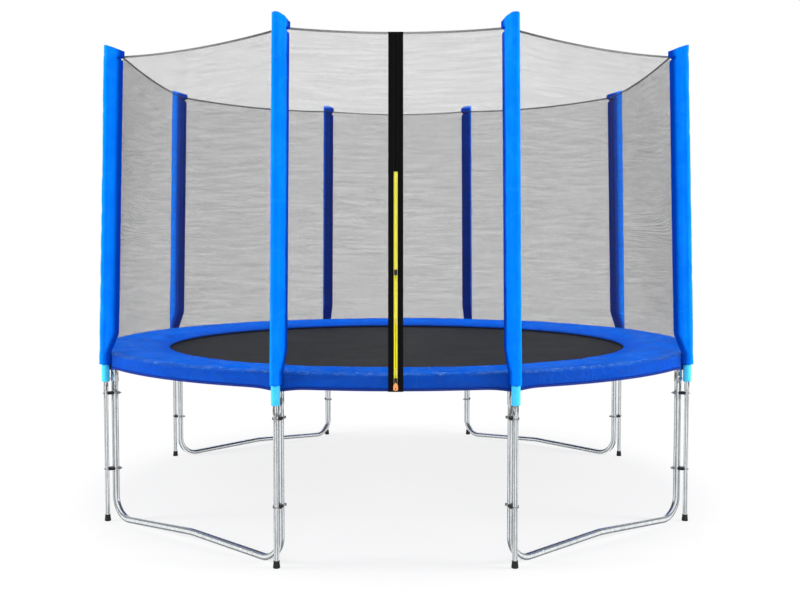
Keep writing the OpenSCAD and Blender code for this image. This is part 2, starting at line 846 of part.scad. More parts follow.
// Share of a panel's width that a length takes up.
function share(a0, a1, len) = len/(net_low_r*(a1 - a0)*PI/180);

function columns(a0, a1, u0, u1) = ceil((a1 - a0)*(u1 - u0)/net_step);

module net_sheet(a0, a1, u0, u1) {
    n = columns(a0, a1, u0, u1);
    function face(out) = [for (r = [0:net_rows]) [for (c = [0:n])
        net_row_point(a0, a1, mix(u0, u1, c/n), r, out)]];
    sheet(face(0), face(net_t));
}

// Band along the top edge of one panel.
module top_hem(a0, a1, u0, u1) {
    n = columns(a0, a1, u0, u1);
    low = 1 + soft_gap/(net_top_h - net_bend_h);
    high = low + top_hem_h/(net_top_h - net_bend_h);
    function face(out) = [for (t = [low, high]) [for (c = [0:n])
        net_point(a0, a1, mix(u0, u1, c/n), t, out)]];
    sheet(face(-hem_extra_t), face(net_t));
}

function panel_start(i) = pole_angles[i - 1];
function panel_end(i) = i < pole_count ? pole_angles[i] : pole_angles[0];
function unwrap(a0, a1) = a1 < a0 ? a1 + 360 : a1;

// The net from pole i to the next one. The last panel holds the door, so it is
// two halves with the zip between them.
module net_panel(i) {
    a0 = panel_start(i);
    a1 = unwrap(a0, panel_end(i));
    edge = share(a0, a1, soft_gap);
    color([0.35, 0.35, 0.36, 0.5])
    if (i < pole_count) {
        net_sheet(a0, a1, edge, 1 - edge);
    } else {
        middle = share(a0, a1, slot_half*net_low_r/net_top_r);
        net_sheet(a0, a1, edge, 0.5 - middle);
        net_sheet(a0, a1, 0.5 + middle, 1 - edge);
    }
}

// Bands along the net's top and lower edges.
module net_hems() {
    color([0.12, 0.12, 0.13]) {
        for (i = [1:pole_count]) {
            a0 = panel_start(i);
            a1 = unwrap(a0, panel_end(i));
            edge = share(a0, a1, soft_gap);
            top_hem(a0, a1, edge, 1 - edge);
        }
        rotate_extrude($fn = 144)
            translate([net_low_r, net_low_h])
                square([net_t + hem_extra_t, low_hem_h - soft_gap]);
    }
}

// ---- Zip door ----

// Moves to the band's lower end: +Z runs up the band and -Y points outwards.
module at_band(z = 0)
    translate([0, -band_face_r, band_low_h])
        rotate([-band_tilt, 0, 0])
            translate([0, 0, z])
                children();

// Black band: one strip on each side of the zip, joined below and above it.
module zip_band() {
    color("black")
    at_band()
        difference() {
            translate([-band_w/2, -band_t, 0])
                cube([band_w, band_t, band_len]);
            translate([-tape_w/2 - soft_gap, -band_t - cut, zip_low])
                cube([tape_w + 2*soft_gap, band_t + 2*cut, zip_len]);
        }
}

// The two halves of the zip: a tape and a coil each.
module zip_tape() {
    color("yellow")
    at_band(zip_low + soft_gap)
        for (s = [-1, 1]) {
            translate([s > 0 ? slit_half : -tape_w/2, -tape_t, 0])
                cube([tape_w/2 - slit_half, tape_t, zip_len - 2*soft_gap]);
            translate([s*coil_x, -coil_y, 0])
                cylinder(d = coil_d, h = zip_len - 2*soft_gap, $fn = 24);
        }
}

// Slider: a shell over both coils, a post through the slit and a plate behind.
// The pull tab's pin stands on the outer face, or on the back for an inner pull.
module zip_slider(pull_inside) {
    pin_y = pull_inside ? back_pin_y : -pull_pin_y;
    base_y = pull_inside ? slider_back_t + soft_gap : -slider_top_y;
    ear_x = pull_barrel_w/2 + ear_gap;
    difference() {
        union() {
            intersection() {
                translate([-slider_w/2, -slider_top_y, 0])
                    cube([slider_w, slider_top_y - slider_low_y, slider_len]);
                translate([0, 0, slider_len*0.42])
                    slider_plan();
            }
            translate([-slider_post, -slider_top_y + 1, 5])
                cube([2*slider_post, slider_top_y - 1 + soft_gap + 0.6, slider_len - 10]);
            translate([-slider_w/2 + 2.5, soft_gap, 2])
                cube([slider_w - 5, slider_back_t, slider_len - 4]);
        }
        for (s = [-1, 1])
            translate([s*coil_x, -coil_y, -cut])
                cylinder(d = slider_bore_d, h = slider_len + 2*cut, $fn = 24);
    }
    for (s = [-1, 1])
        difference() {
            translate([s*(ear_x + ear_t/2) - ear_t/2, min(base_y, pin_y), pull_pin_z - 2])
                cube([ear_t, abs(pin_y - base_y), 4]);
            translate([0, pin_y, pull_pin_z])
                rod_x(pull_pin_d - 0.4, 40);
        }
    for (s = [-1, 1])
        translate([s*(ear_x + ear_t/2), pin_y, pull_pin_z])
            rod_x(4, ear_t);
    translate([0, pin_y, pull_pin_z])
        rod_x(pull_pin_d, 2*ear_x + ear_t);
}

// Rounded plan of the slider shell, widest below its middle.
module slider_plan()
    rotate([90, 0, 0])
        cylinder(d = slider_len*1.18, h = 4*slider_w, center = true, $fn = 64);

// Pull tab hanging from its pin: a barrel, a neck and a rounded plate.
module pull_tab(w, len) {
    bore = pull_pin_d + 2*pin_fit;
    difference() {
        union() {
            rod_x(pull_barrel_d, pull_barrel_w);
            translate([-pull_barrel_w/2, -tab_t/2, -len*0.45])
                cube([pull_barrel_w, tab_t, len*0.45]);
            translate([0, tab_t/2, 0])
                rotate([90, 0, 0])
                    linear_extrude(height = tab_t)
                        tab_outline(w, len);
        }
        rod_x(bore, 2*w);
        translate([0, 0, -len + w*0.36])
            rotate([90, 0, 0])
                cylinder(d = w*0.28, h = 2*tab_t, center = true);
    }
}

// Plate of the tab, seen from the front: round below, shouldered above.
module tab_outline(w, len) {
    corner = w*0.25;
    translate([-w/2 + corner, -len])
        square([w - 2*corner, corner]);
    translate([-w/2, -len + corner])
        square([w, len*0.6 - corner]);
    for (s = [-1, 1])
        translate([s*(w/2 - corner), -len + corner])
            circle(r = corner, $fn = 32);
    translate([0, -len*0.4])
        circle(d = w, $fn = 48);
}

// Moves to the pin of a slider at distance z along the band, upright.
module at_pin(z, pin_y)
    translate([
        0,
        -band_face_r - pin_y*cos(band_tilt) + (z + pull_pin_z)*sin(band_tilt),
        band_low_h + pin_y*sin(band_tilt) + (z + pull_pin_z)*cos(band_tilt)
    ])
        children();

module lower_zip_slider() {
    color("black")
    at_band(lower_slider_at)
        zip_slider(false);
}

module lower_pull_tab() {
    color("darkorange")
    at_pin(lower_slider_at, pull_pin_y)
        pull_tab(tab_w, tab_len);
}

module upper_zip_slider() {
    color("black")
    at_band(upper_slider_at)
        zip_slider(true);
}

module upper_pull_tab() {
    color("darkred")
    at_pin(upper_slider_at, -back_pin_y)
        pull_tab(0.6*tab_w, back_tab_len);
}

for (i = [1:segments])
    ring_segment(i);
for (i = [1:leg_count])
    leg_base(i);
for (i = [1:leg_count])
    leg_uprights(i);
for (i = [1:pole_count])
    net_pole(i);
for (i = [1:pole_count])
    pole_cover(i);
for (i = [1:pole_count])
    net_panel(i);
foam_tubes();
foot_caps();
pole_caps();
u_bolts();
clamp_spacers();
clamp_plates();
clamp_nuts();
socket_screws();
springs();
jumping_mat();
mat_webbing();
mat_rings();
safety_pad();
net_hems();
zip_band();
zip_tape();
lower_zip_slider();
lower_pull_tab();
upper_zip_slider();
upper_pull_tab();
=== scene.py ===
"""Round garden trampoline with a safety net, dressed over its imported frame.

Metres, +Z up. The origin is the trampoline's centre on the ground, and the zip
door faces -Y. Angles round the frame are counted from the front (-Y), positive
towards +X, as in the part's source, whose sizes are repeated in Plan.
"""

from __future__ import annotations

import logging
import math
import sys
from dataclasses import dataclass, field
from typing import ClassVar, Sequence

import bmesh
import bpy
import numpy as np
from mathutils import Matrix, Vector

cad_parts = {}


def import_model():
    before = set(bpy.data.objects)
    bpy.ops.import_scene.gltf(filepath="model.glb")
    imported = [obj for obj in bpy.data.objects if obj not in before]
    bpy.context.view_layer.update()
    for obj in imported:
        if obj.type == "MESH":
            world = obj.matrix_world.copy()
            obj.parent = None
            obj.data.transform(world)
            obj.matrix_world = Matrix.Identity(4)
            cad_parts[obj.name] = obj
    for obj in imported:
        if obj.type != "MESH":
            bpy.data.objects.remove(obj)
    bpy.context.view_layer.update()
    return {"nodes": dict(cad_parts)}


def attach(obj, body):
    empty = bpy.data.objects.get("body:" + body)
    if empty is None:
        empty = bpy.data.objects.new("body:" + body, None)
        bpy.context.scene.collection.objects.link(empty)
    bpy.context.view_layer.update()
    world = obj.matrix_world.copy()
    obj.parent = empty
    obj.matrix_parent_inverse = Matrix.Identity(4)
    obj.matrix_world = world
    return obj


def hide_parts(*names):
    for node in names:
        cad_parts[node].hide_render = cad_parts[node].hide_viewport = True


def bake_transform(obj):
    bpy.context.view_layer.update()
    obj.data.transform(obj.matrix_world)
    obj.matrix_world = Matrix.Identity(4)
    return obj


LOG = logging.getLogger("trampoline")
Array = np.ndarray


# ---------------------------------------------------------------- sizes


@dataclass(frozen=True)
class Plan:
    """Sizes that several pieces share: metres, but degrees for poles, band_tilt and names in angle."""

    poles: tuple[float, ...] = (18.0, 61.0, 119.0, 162.0, 198.0, 241.0, 299.0, 342.0)
    ring_h: float = 0.905
    pole_r: float = 1.861
    pole_h: float = 2.640
    cover_low_h: float = 0.888
    foam_r: float = 0.022
    lean_start: float = 0.960
    lean_r: float = 0.600
    lean_angle: float = 1.70473
    mat_r: float = 1.595
    mat_top_h: float = 0.906
    pad_low_h: float = 0.9253
    pad_in_r: float = 1.429
    pad_out_r: float = 1.8344
    net_low_r: float = 1.8351
    net_bend_h: float = 0.9503
    net_low_edge_h: float = 0.882
    net_top_r: float = 1.741623
    net_top_h: float = 2.590
    net_sag: float = 0.024
    skirt_dip: float = 0.013
    dip_angle: float = 2.4
    spring_count: int = 72
    knee_share: float = 0.066902
    knee_pull: float = 0.04169
    knee_hold: float = 1.12
    band_face_r: float = 1.845930
    band_low_h: float = 0.866
    band_tilt: float = 6.314159

    @property
    def numbers(self) -> range:
        """Numbers of the poles, covers and panels."""
        return range(1, len(self.poles) + 1)

    def lean_at(self, height: Array | float) -> Array | float:
        """How far the leaning part of a pole has moved inwards: its bend's, then the tangent of the tilt.

        Args:
            height: height above the ground.

        Returns:
            The distance inwards.
        """
        tilt = math.radians(self.lean_angle)
        bend_end = self.lean_start + self.lean_r * math.sin(tilt)
        return self.lean_r * (1 - math.cos(tilt)) + (height - bend_end) * math.tan(tilt)

    def panel(self, index: int) -> tuple[float, float]:
        """The two poles that a panel hangs between.

        Args:
            index: the panel, 1 to 8.

        Returns:
            Their angles in degrees, the second the greater.
        """
        a0 = self.poles[index - 1]
        a1 = self.poles[index % len(self.poles)]
        return a0, a1 + 360.0 if a1 < a0 else a1


PLAN = Plan()


# ---------------------------------------------------------------- shapes


def polar(angle: Array | float, radius: Array | float, height: Array | float) -> Array:
    """Points at an angle in degrees from the front: (r sin a, -r cos a, h), broadcast together.

    Args:
        angle: degrees from the front.
        radius: distance from the middle.
        height: height above the ground.

    Returns:
        An array of points whose last axis is x, y, z.
    """
    a, r, h = np.broadcast_arrays(np.radians(angle), radius, height)
    return np.stack([r * np.sin(a), -r * np.cos(a), h * 1.0], axis=-1)


def at_angle(points: Array, angle: float, radius: float = 0.0, height: float = 0.0) -> Array:
    """Turns local points so that local -Y points outwards at an angle, then moves them out and up.

    Args:
        points: local points, any shape with x, y, z last.
        angle: degrees from the front.
        radius: distance the local origin moves out.
        height: distance it moves up.

    Returns:
        The points in the part's frame: x' = x cos a - y sin a, y' = x sin a + y cos a.
    """
    a = math.radians(angle)
    turn = np.array([[math.cos(a), -math.sin(a), 0], [math.sin(a), math.cos(a), 0], [0, 0, 1]])
    return points @ turn.T + polar(angle, radius, height)


def tilted(points: Array, angle: float) -> Array:
    """Points turned about X so that +Z leans to +Y: y' = y cos a + z sin a, z' = z cos a - y sin a.

    Args:
        points: any shape with x, y, z last.
        angle: the turn in degrees.

    Returns:
        The turned points.
    """
    a = math.radians(angle)
    turn = np.array([[1, 0, 0], [0, math.cos(a), math.sin(a)], [0, -math.sin(a), math.cos(a)]])
    return points @ turn.T


def on_pole(points: Array, angle: float) -> Array:
    """Places points that are given along a pole's leaning axis.

    Args:
        points: x aside, y inwards and z along the axis from the cover's foot.
        angle: the pole's angle in degrees from the front.

    Returns:
        The points in the part's frame.
    """
    foot = PLAN.cover_low_h
    moved = tilted(points, PLAN.lean_angle) + np.array([0.0, PLAN.lean_at(foot), foot])
    return at_angle(moved, angle, PLAN.pole_r)


def net_point(ends: tuple[float, float], u: Array, t: Array, out: Array | float) -> Array:
    """The net between two poles.

    Low is the round edge of the pad, high the straight line between the poles
    less a sag of 4 u (1 - u) times net_sag. The point is low + t (high - low),
    pulled inwards by knee_pull times the lesser of 1 and knee_hold |2 u - 1| at
    the knee, and less above and below it.
    Below t = 0 it hangs straight down.

    Args:
        ends: angles of the two poles.
        u: 0 at the first pole to 1 at the second.
        t: 0 at the pad's edge to 1 at the top, negative below.
        out: distance outwards from the cloth's inner face.

    Returns:
        The points.
    """
    u, t, out = np.broadcast_arrays(u, t, out)
    angle = ends[0] + (ends[1] - ends[0]) * u
    tall = PLAN.net_top_h - PLAN.net_bend_h
    hang = np.minimum(t, 0) * tall
    hang = hang + hang / (PLAN.net_bend_h - PLAN.net_low_edge_h) * skirt_dip(angle)
    low = polar(angle, PLAN.net_low_r + out, PLAN.net_bend_h + hang)
    first, second = (polar(a, PLAN.net_top_r + out, PLAN.net_top_h) for a in ends)
    high = first + (second - first) * u[..., None]
    high[..., 2] -= 4 * PLAN.net_sag * u * (1 - u)
    up = np.maximum(t, 0)
    knee = np.where(up < PLAN.knee_share, up / PLAN.knee_share, (1 - up) / (1 - PLAN.knee_share))
    pull = PLAN.knee_pull * np.minimum(1, PLAN.knee_hold * np.abs(2 * u - 1)) * np.maximum(knee, 0)
    return low + (high - low) * up[..., None] - polar(angle, pull, 0.0)


def ease(value: Array | float, low: float, high: float) -> Array:
    """Smooth step: t t (3 - 2 t), with t clipped to 0 and 1.

    Args:
        value: what is eased.
        low: where the step starts, t = 0.
        high: where it ends, t = 1.

    Returns:
        0 at low to 1 at high.
    """
    t = np.clip((np.asarray(value, float) - low) / (high - low), 0.0, 1.0)
    return t * t * (3 - 2 * t)


def ripple(u: Array, v: Array, cells: tuple[int, int], seed: int) -> Array:
    """Smooth noise from -1 to 1 on a lattice of random heights, repeating in u and in v.

    The height between four lattice points is their mean weighted by the eased
    distance to each. u and v run over one repeat from 0 to 1.

    Args:
        u: first parameter.
        v: second parameter.
        cells: lattice cells in one repeat, along u and v.
        seed: seed of the random heights.

    Returns:
        The noise, shaped as u and v are.
    """
    lattice = np.random.default_rng(seed).uniform(-1, 1, cells)
    x, y = np.mod(u, 1.0) * cells[0], np.mod(v, 1.0) * cells[1]
    i, j = np.floor(x).astype(int), np.floor(y).astype(int)
    a, b = x - i, y - j
    a, b = a * a * (3 - 2 * a), b * b * (3 - 2 * b)
    i0, j0, i1, j1 = i % cells[0], j % cells[1], (i + 1) % cells[0], (j + 1) % cells[1]
    low = lattice[i0, j0] * (1 - a) + lattice[i1, j0] * a
    high = lattice[i0, j1] * (1 - a) + lattice[i1, j1] * a
    return low * (1 - b) + high * b


def creased(u: Array, v: Array, cells: tuple[int, int], seed: int, octaves: int = 3) -> Array:
    """Creases from 0 to 1: octaves of 1 - |ripple|, each with twice the cells and half the height.

    Args:
        u: first parameter, 0 to 1.
        v: second parameter, 0 to 1.
        cells: cells of the first octave.
        seed: seed of the first octave.
        octaves: how many are added.

    Returns:
        The crease heights.
    """
    total, weight = np.zeros(np.broadcast(u, v).shape), 0.0
    for k in range(octaves):
        fine = (cells[0] * 2**k, cells[1] * 2**k)
        total += (1 - np.abs(ripple(u, v, fine, seed + k))) ** 3 * 0.5**k
        weight += 0.5**k
    return total / weight


def skirt_dip(angle: Array) -> Array:
    """How far the pad's skirt and the net's foot hang lower: a bell exp(-(off / width)^2) at each pole.

    Args:
        angle: degrees from the front.

    Returns:
        The distance downwards.
    """
    off = (np.asarray(angle)[..., None] - np.array(PLAN.poles) + 180.0) % 360.0 - 180.0
    return PLAN.skirt_dip * np.exp(-((off / PLAN.dip_angle) ** 2)).sum(-1)


@dataclass
class Cut:
    """One mesh in the making: grids and fans of points are added, then built into an object."""

    name: str
    points: list[Array] = field(default_factory=list)
    faces: list[Array] = field(default_factory=list)
    uvs: list[Array] = field(default_factory=list)
    count: int = 0

    def grid(
        self,
        points: Array,
        uv: Array | None = None,
        around: bool = False,
        along: bool = False,
        flip: bool = False,
    ) -> "Cut":
        """Adds a grid of quads over points[row][column].

        A face's normal points along (column step) x (row step), or against it with
        flip. uv has one more column where the grid closes around, and one more row
        where it closes along, so that the pattern doesn't jump at the seam.

        Args:
            points: rows x columns x 3.
            uv: the pattern's coordinates in metres at the grid's corners.
            around: the last column joins the first.
            along: the last row joins the first.
            flip: turns the faces over.

        Returns:
            Itself.
        """
        rows, cols = points.shape[:2]
        r, c = np.meshgrid(
            np.arange(rows if along else rows - 1),
            np.arange(cols if around else cols - 1),
            indexing="ij",
        )
        ri = np.stack([r, r, r + 1, r + 1], axis=-1).reshape(-1, 4)
        ci = np.stack([c, c + 1, c + 1, c], axis=-1).reshape(-1, 4)
        if flip:
            ri, ci = ri[:, ::-1], ci[:, ::-1]
        if uv is None:
            uv = np.stack(np.meshgrid(np.arange(cols + 1), np.arange(rows + 1)), axis=-1) * 0.01
        self.faces.append((ri % rows) * cols + (ci % cols) + self.count)
        self.uvs.append(uv[ri, ci])
        self.points.append(points.reshape(-1, 3))
        self.count += rows * cols
        return self

    def fan(self, rim: Array, flip: bool = False) -> "Cut":
        """Closes a round opening: triangles from the rim's points to their mean.

        Args:
            rim: points round the opening.
            flip: turns the faces over.

        Returns:
            Itself.
        """
        n = len(rim)
        middle = rim.mean(0)
        i = np.arange(n)
        tri = np.stack([i, (i + 1) % n, np.full(n, n)], axis=-1)
        if flip:
            tri = tri[:, ::-1]
        flat = np.vstack([rim, middle[None, :]])
        self.faces.append(tri + self.count)
        self.uvs.append((flat[tri] - middle)[..., :2])
        self.points.append(flat)
        self.count += n + 1
        return self

    def tube(self, points: Array, uv: Array | None = None) -> "Cut":
        """Adds a grid that closes around, with both of its ends closed."""
        return self.grid(points, uv, around=True).fan(points[0], flip=True).fan(points[-1])

    def build(self, finish: bpy.types.Material, crease: float = 50.0, weld: float = 0.0) -> bpy.types.Object:
        """Makes the object, in place, with its finish and smooth shading.

        Args:
            finish: its material.
            crease: edges sharper than this many degrees stay sharp.
            weld: points closer than this many metres are merged.

        Returns:
            The object, at the origin.
        """
        mesh = bpy.data.meshes.new(self.name)
        points = np.concatenate(self.points)
        loops = np.concatenate([f.ravel() for f in self.faces])
        sizes = np.concatenate([np.full(len(f), f.shape[1]) for f in self.faces])
        mesh.vertices.add(len(points))
        mesh.vertices.foreach_set("co", points.astype(np.float32).ravel())
        mesh.loops.add(len(loops))
        mesh.loops.foreach_set("vertex_index", loops.astype(np.int32))
        mesh.polygons.add(len(sizes))
        starts = np.concatenate([[0], np.cumsum(sizes)[:-1]])
        mesh.polygons.foreach_set("loop_start", starts.astype(np.int32))
        layer = mesh.uv_layers.new(name="cloth")
        uv = np.concatenate([u.reshape(-1, 2) for u in self.uvs])
        layer.data.foreach_set("uv", uv.astype(np.float32).ravel())
        mesh.update(calc_edges=True)
        mesh.validate()
        if weld:
            self.merge(mesh, weld)
        mesh.polygons.foreach_set("use_smooth", np.ones(len(mesh.polygons), bool))
        mesh.set_sharp_from_angle(angle=math.radians(crease))
        mesh.materials.append(finish)
        piece = bpy.data.objects.new(self.name, mesh)
        bpy.context.scene.collection.objects.link(piece)
        return piece

    @staticmethod
    def merge(mesh: bpy.types.Mesh, distance: float) -> None:
        """Merges points that lie together.

        Args:
            mesh: the mesh, changed in place.
            distance: points closer than this become one.
        """
        made = bmesh.new()
        made.from_mesh(mesh)
        bmesh.ops.remove_doubles(made, verts=made.verts, dist=distance)
        made.to_mesh(mesh)
        made.free()


def swept(path: Array, outward: Array, radius: float, sides: int) -> Array:
    """A round wire's skin: circles square to the path, placed by a guide direction.

    At each point the tangent t is the path's gradient, n the guide less its part
    along t, and b = t x n. The circle's points are p + r (n cos q + b sin q).

    Args:
        path: points along the wire, count x 3.
        outward: a guide direction at each point, never along the path.
        radius: the wire's radius.
        sides: points round the wire.

    Returns:
        count x sides x 3.
    """
    tangent = np.gradient(path, axis=0)
    tangent /= np.linalg.norm(tangent, axis=1, keepdims=True)
    normal = outward - (outward * tangent).sum(1, keepdims=True) * tangent
    normal /= np.linalg.norm(normal, axis=1, keepdims=True)
    side = np.cross(tangent, normal)
    q = np.arange(sides) * 2 * math.pi / sides
    return path[:, None, :] + radius * (
        normal[:, None, :] * np.cos(q)[None, :, None] + side[:, None, :] * np.sin(q)[None, :, None]
    )


def lengths(path: Array) -> Array:
    """Distance along a path: the sum of the steps before each point.

    Args:
        path: its points, count x 3 or count x 2.

    Returns:
        One distance for each point, from 0.
    """
    steps = np.linalg.norm(np.diff(path, axis=0), axis=1)
    return np.concatenate([[0.0], np.cumsum(steps)])


# ---------------------------------------------------------------- shader bench


class Signal:
    """A number socket whose operators add Math nodes, so that shader maths reads as Python."""

    def __init__(self, bench: "Bench", socket: bpy.types.NodeSocket) -> None:
        """Wraps one output socket of the bench's material."""
        self.bench = bench
        self.socket = socket

    def math(self, operation: str, *others: "Signal | float") -> "Signal":
        """Adds a Math node.

        Args:
            operation: the node's operation.
            others: its second value, where it has one.

        Returns:
            The node's result.
        """
        made = self.bench.add("ShaderNodeMath", {"operation": operation}, dict(enumerate((self, *others))))
        return Signal(self.bench, made.outputs[0])

    def __add__(self, other: "Signal | float") -> "Signal":
        """This plus other."""
        return self.math("ADD", other)

    def __radd__(self, other: float) -> "Signal":
        """Other plus this."""
        return self.math("ADD", other)

    def __sub__(self, other: "Signal | float") -> "Signal":
        """This less other."""
        return self.math("SUBTRACT", other)

    def __rsub__(self, other: float) -> "Signal":
        """Other less this."""
        return self.math("MULTIPLY", -1.0).math("ADD", other)

    def __mul__(self, other: "Signal | float") -> "Signal":
        """This times other."""
        return self.math("MULTIPLY", other)

    def __rmul__(self, other: float) -> "Signal":
        """Other times this."""
        return self.math("MULTIPLY", other)

    def __truediv__(self, other: "Signal | float") -> "Signal":
        """This divided by other."""
        return self.math("DIVIDE", other)

    def __gt__(self, other: "Signal | float") -> "Signal":
        """1 where this is more than other, else 0."""
        return self.math("GREATER_THAN", other)

    def wave(self, period: float) -> "Signal":
        """0.5 + 0.5 sin(2 pi this / period)."""
        return (self * (2 * math.pi / period)).math("SINE") * 0.5 + 0.5

    def fract(self) -> "Signal":
        """This less the whole number below it."""
        return self.math("FRACT")

    def floor(self) -> "Signal":
        """The whole number below this."""
        return self.math("FLOOR")

    def abs(self) -> "Signal":
        """This without its sign."""
        return self.math("ABSOLUTE")

    def step(self, low: float, high: float) -> "Signal":
        """Smooth step, either way round.

        Args:
            low: where the result is 0.
            high: where it is 1.

        Returns:
            0 to 1.
        """
        made = self.bench.add(
            "ShaderNodeMapRange",
            {"interpolation_type": "SMOOTHSTEP"},
            {0: self, 1: low, 2: high, 3: 0.0, 4: 1.0},
        )
        return Signal(self.bench, made.outputs[0])

    def near(self, middle: float, half: float) -> "Signal":
        """1 within half of middle, fading to 0 over a third of half outside."""
        return (self - middle).abs().step(half * 1.33, half)


class Bench:
    """One material in the making: its node tree, its shader and its helpers."""

    def __init__(self, name: str) -> None:
        """Starts a material with an empty tree and one shader.

        Args:
            name: its name.
        """
        self.material = bpy.data.materials.new(name)
        self.material.use_nodes = True
        self.tree = self.material.node_tree
        self.tree.nodes.clear()
        self.output = self.tree.nodes.new("ShaderNodeOutputMaterial")
        self.shader = self.tree.nodes.new("ShaderNodeBsdfPrincipled")
        self.tree.links.new(self.shader.outputs[0], self.output.inputs[0])

    def plug(self, socket: bpy.types.NodeSocket, value: object) -> None:
        """Links or sets one input.

        Args:
            socket: the input.
            value: a Signal or an output to link, or a plain value to set.
        """
        if isinstance(value, Signal):
            self.tree.links.new(value.socket, socket)
        elif isinstance(value, bpy.types.NodeSocket):
            self.tree.links.new(value, socket)
        else:
            socket.default_value = value

    def add(self, kind: str, settings: dict[str, object], inputs: dict[int | str, object]) -> bpy.types.Node:
        """Adds any node: first its settings, then its sockets.

        Args:
            kind: the node's type.
            settings: attributes of the node.
            inputs: values or links by socket name or number.

        Returns:
            The node.
        """
        node = self.tree.nodes.new(kind)
        for key, value in settings.items():
            setattr(node, key, value)
        for key, value in inputs.items():
            self.plug(node.inputs[key], value)
        return node

    def place(self) -> tuple[bpy.types.NodeSocket, Signal, Signal, Signal]:
        """Reads Object coordinates.

        Returns:
            The vector, then x, y and z.
        """
        vector = self.add("ShaderNodeTexCoord", {}, {}).outputs["Object"]
        split = self.add("ShaderNodeSeparateXYZ", {}, {0: vector}).outputs
        return vector, *(Signal(self, s) for s in split)

    def cloth(self) -> tuple[bpy.types.NodeSocket, Signal, Signal]:
        """Reads the piece's own UV, in metres.

        Returns:
            The vector, then u and v.
        """
        vector = self.add("ShaderNodeUVMap", {"uv_map": "cloth"}, {}).outputs[0]
        split = self.add("ShaderNodeSeparateXYZ", {}, {0: vector}).outputs
        return vector, Signal(self, split[0]), Signal(self, split[1])

    def scaled(self, vector: bpy.types.NodeSocket, by: Sequence[float]) -> bpy.types.NodeSocket:
        """A vector with each part multiplied."""
        made = self.add("ShaderNodeVectorMath", {"operation": "MULTIPLY"}, {0: vector, 1: tuple(by)})
        return made.outputs[0]

    def noise(
        self,
        vector: bpy.types.NodeSocket,
        scale: float,
        detail: float = 3.0,
        rough: float = 0.5,
        warp: float = 0.0,
    ) -> Signal:
        """Noise from 0 to 1.

        Args:
            vector: coordinates.
            scale: cells in a metre.
            detail: finer layers.
            rough: strength of the finer layers.
            warp: distortion.

        Returns:
            The noise.
        """
        made = self.add(
            "ShaderNodeTexNoise",
            {},
            {"Vector": vector, "Scale": scale, "Detail": detail, "Roughness": rough, "Distortion": warp},
        )
        return Signal(self, made.outputs[0])

    def cells(self, vector: bpy.types.NodeSocket, scale: float) -> Signal:
        """Distance in a Voronoi pattern of that many cells in a metre."""
        made = self.add("ShaderNodeTexVoronoi", {}, {"Vector": vector, "Scale": scale})
        return Signal(self, made.outputs["Distance"])

    def grains(self, vector: bpy.types.NodeSocket, scale: float) -> Signal:
        """One random number for each cell of a Voronoi pattern.

        Args:
            vector: coordinates.
            scale: cells in a metre.

        Returns:
            The number, 0 to 1.
        """
        made = self.add("ShaderNodeTexVoronoi", {}, {"Vector": vector, "Scale": scale})
        split = self.add("ShaderNodeSeparateColor", {}, {0: made.outputs["Color"]})
        return Signal(self, split.outputs[0])

    def light_path(self) -> tuple[Signal, Signal]:
        """Tells how the shaded point is looked at.

        Returns:
            1 for what the camera sees, straight or through gaps; 1 for what reflections see.
        """
        path = self.add("ShaderNodeLightPath", {}, {}).outputs
        seen = Signal(self, path["Is Camera Ray"]).math("MAXIMUM", Signal(self, path["Is Transmission Ray"]))
        return seen, Signal(self, path["Is Glossy Ray"])

    def mix(self, share: Signal | float, first: object, second: object) -> bpy.types.NodeSocket:
        """A colour between two.

        Args:
            share: 0 gives the first, 1 the second.
            first: a colour or an output.
            second: a colour or an output.

        Returns:
            The mixed colour's socket.
        """
        made = self.add("ShaderNodeMix", {"data_type": "RGBA", "clamp_factor": True}, {0: share})
        self.plug(made.inputs[6], first if not isinstance(first, tuple) else (*first[:3], 1.0))
        self.plug(made.inputs[7], second if not isinstance(second, tuple) else (*second[:3], 1.0))
        return made.outputs[2]

    def bump(self, height: Signal, depth: float, strength: float = 1.0) -> None:
        """Feeds a height of 0 to 1, depth metres deep, to the shader's Normal.

        Args:
            height: the relief.
            depth: its depth in metres.
            strength: how much of it shows.
        """
        made = self.add("ShaderNodeBump", {}, {"Strength": strength, "Distance": depth, "Height": height})
        self.plug(self.shader.inputs["Normal"], made.outputs[0])

    def dress(self, **sockets: object) -> bpy.types.Material:
        """Sets or links the shader's sockets, words joined by _ for spaces.

        Args:
            **sockets: values by socket name.

        Returns:
            The finished material.
        """
        for key, value in sockets.items():
            name = key.replace("_", " ")
            if isinstance(value, tuple) and len(value) == 3:
                value = (*value, 1.0)
            self.plug(self.shader.inputs[name], value)
        return self.material


class SkyBench(Bench):
    """The same bench for the world around the set."""

    def __init__(self, name: str) -> None:
        """Starts a world with an empty tree and makes it the scene's.

        Args:
            name: its name.
        """
        world = bpy.data.worlds.new(name)
        world.use_nodes = True
        bpy.context.scene.world = world
        self.tree = world.node_tree
        self.tree.nodes.clear()
        self.output = self.tree.nodes.new("ShaderNodeOutputWorld")


Colour = tuple[float, float, float]
WHITE = (1.0, 1.0, 1.0, 1.0)


def shade(red: int, green: int, blue: int) -> Colour:
    """A colour as linear light, by the sRGB curve.

    Args:
        red: 0 to 255.
        green: 0 to 255.
        blue: 0 to 255.

    Returns:
        The three parts, 0 to 1.
    """
    parts = np.array([red, green, blue], float) / 255
    lin = np.where(parts <= 0.04045, parts / 12.92, ((parts + 0.055) / 1.055) ** 2.4)
    return tuple(float(x) for x in lin)


# ---------------------------------------------------------------- finishes


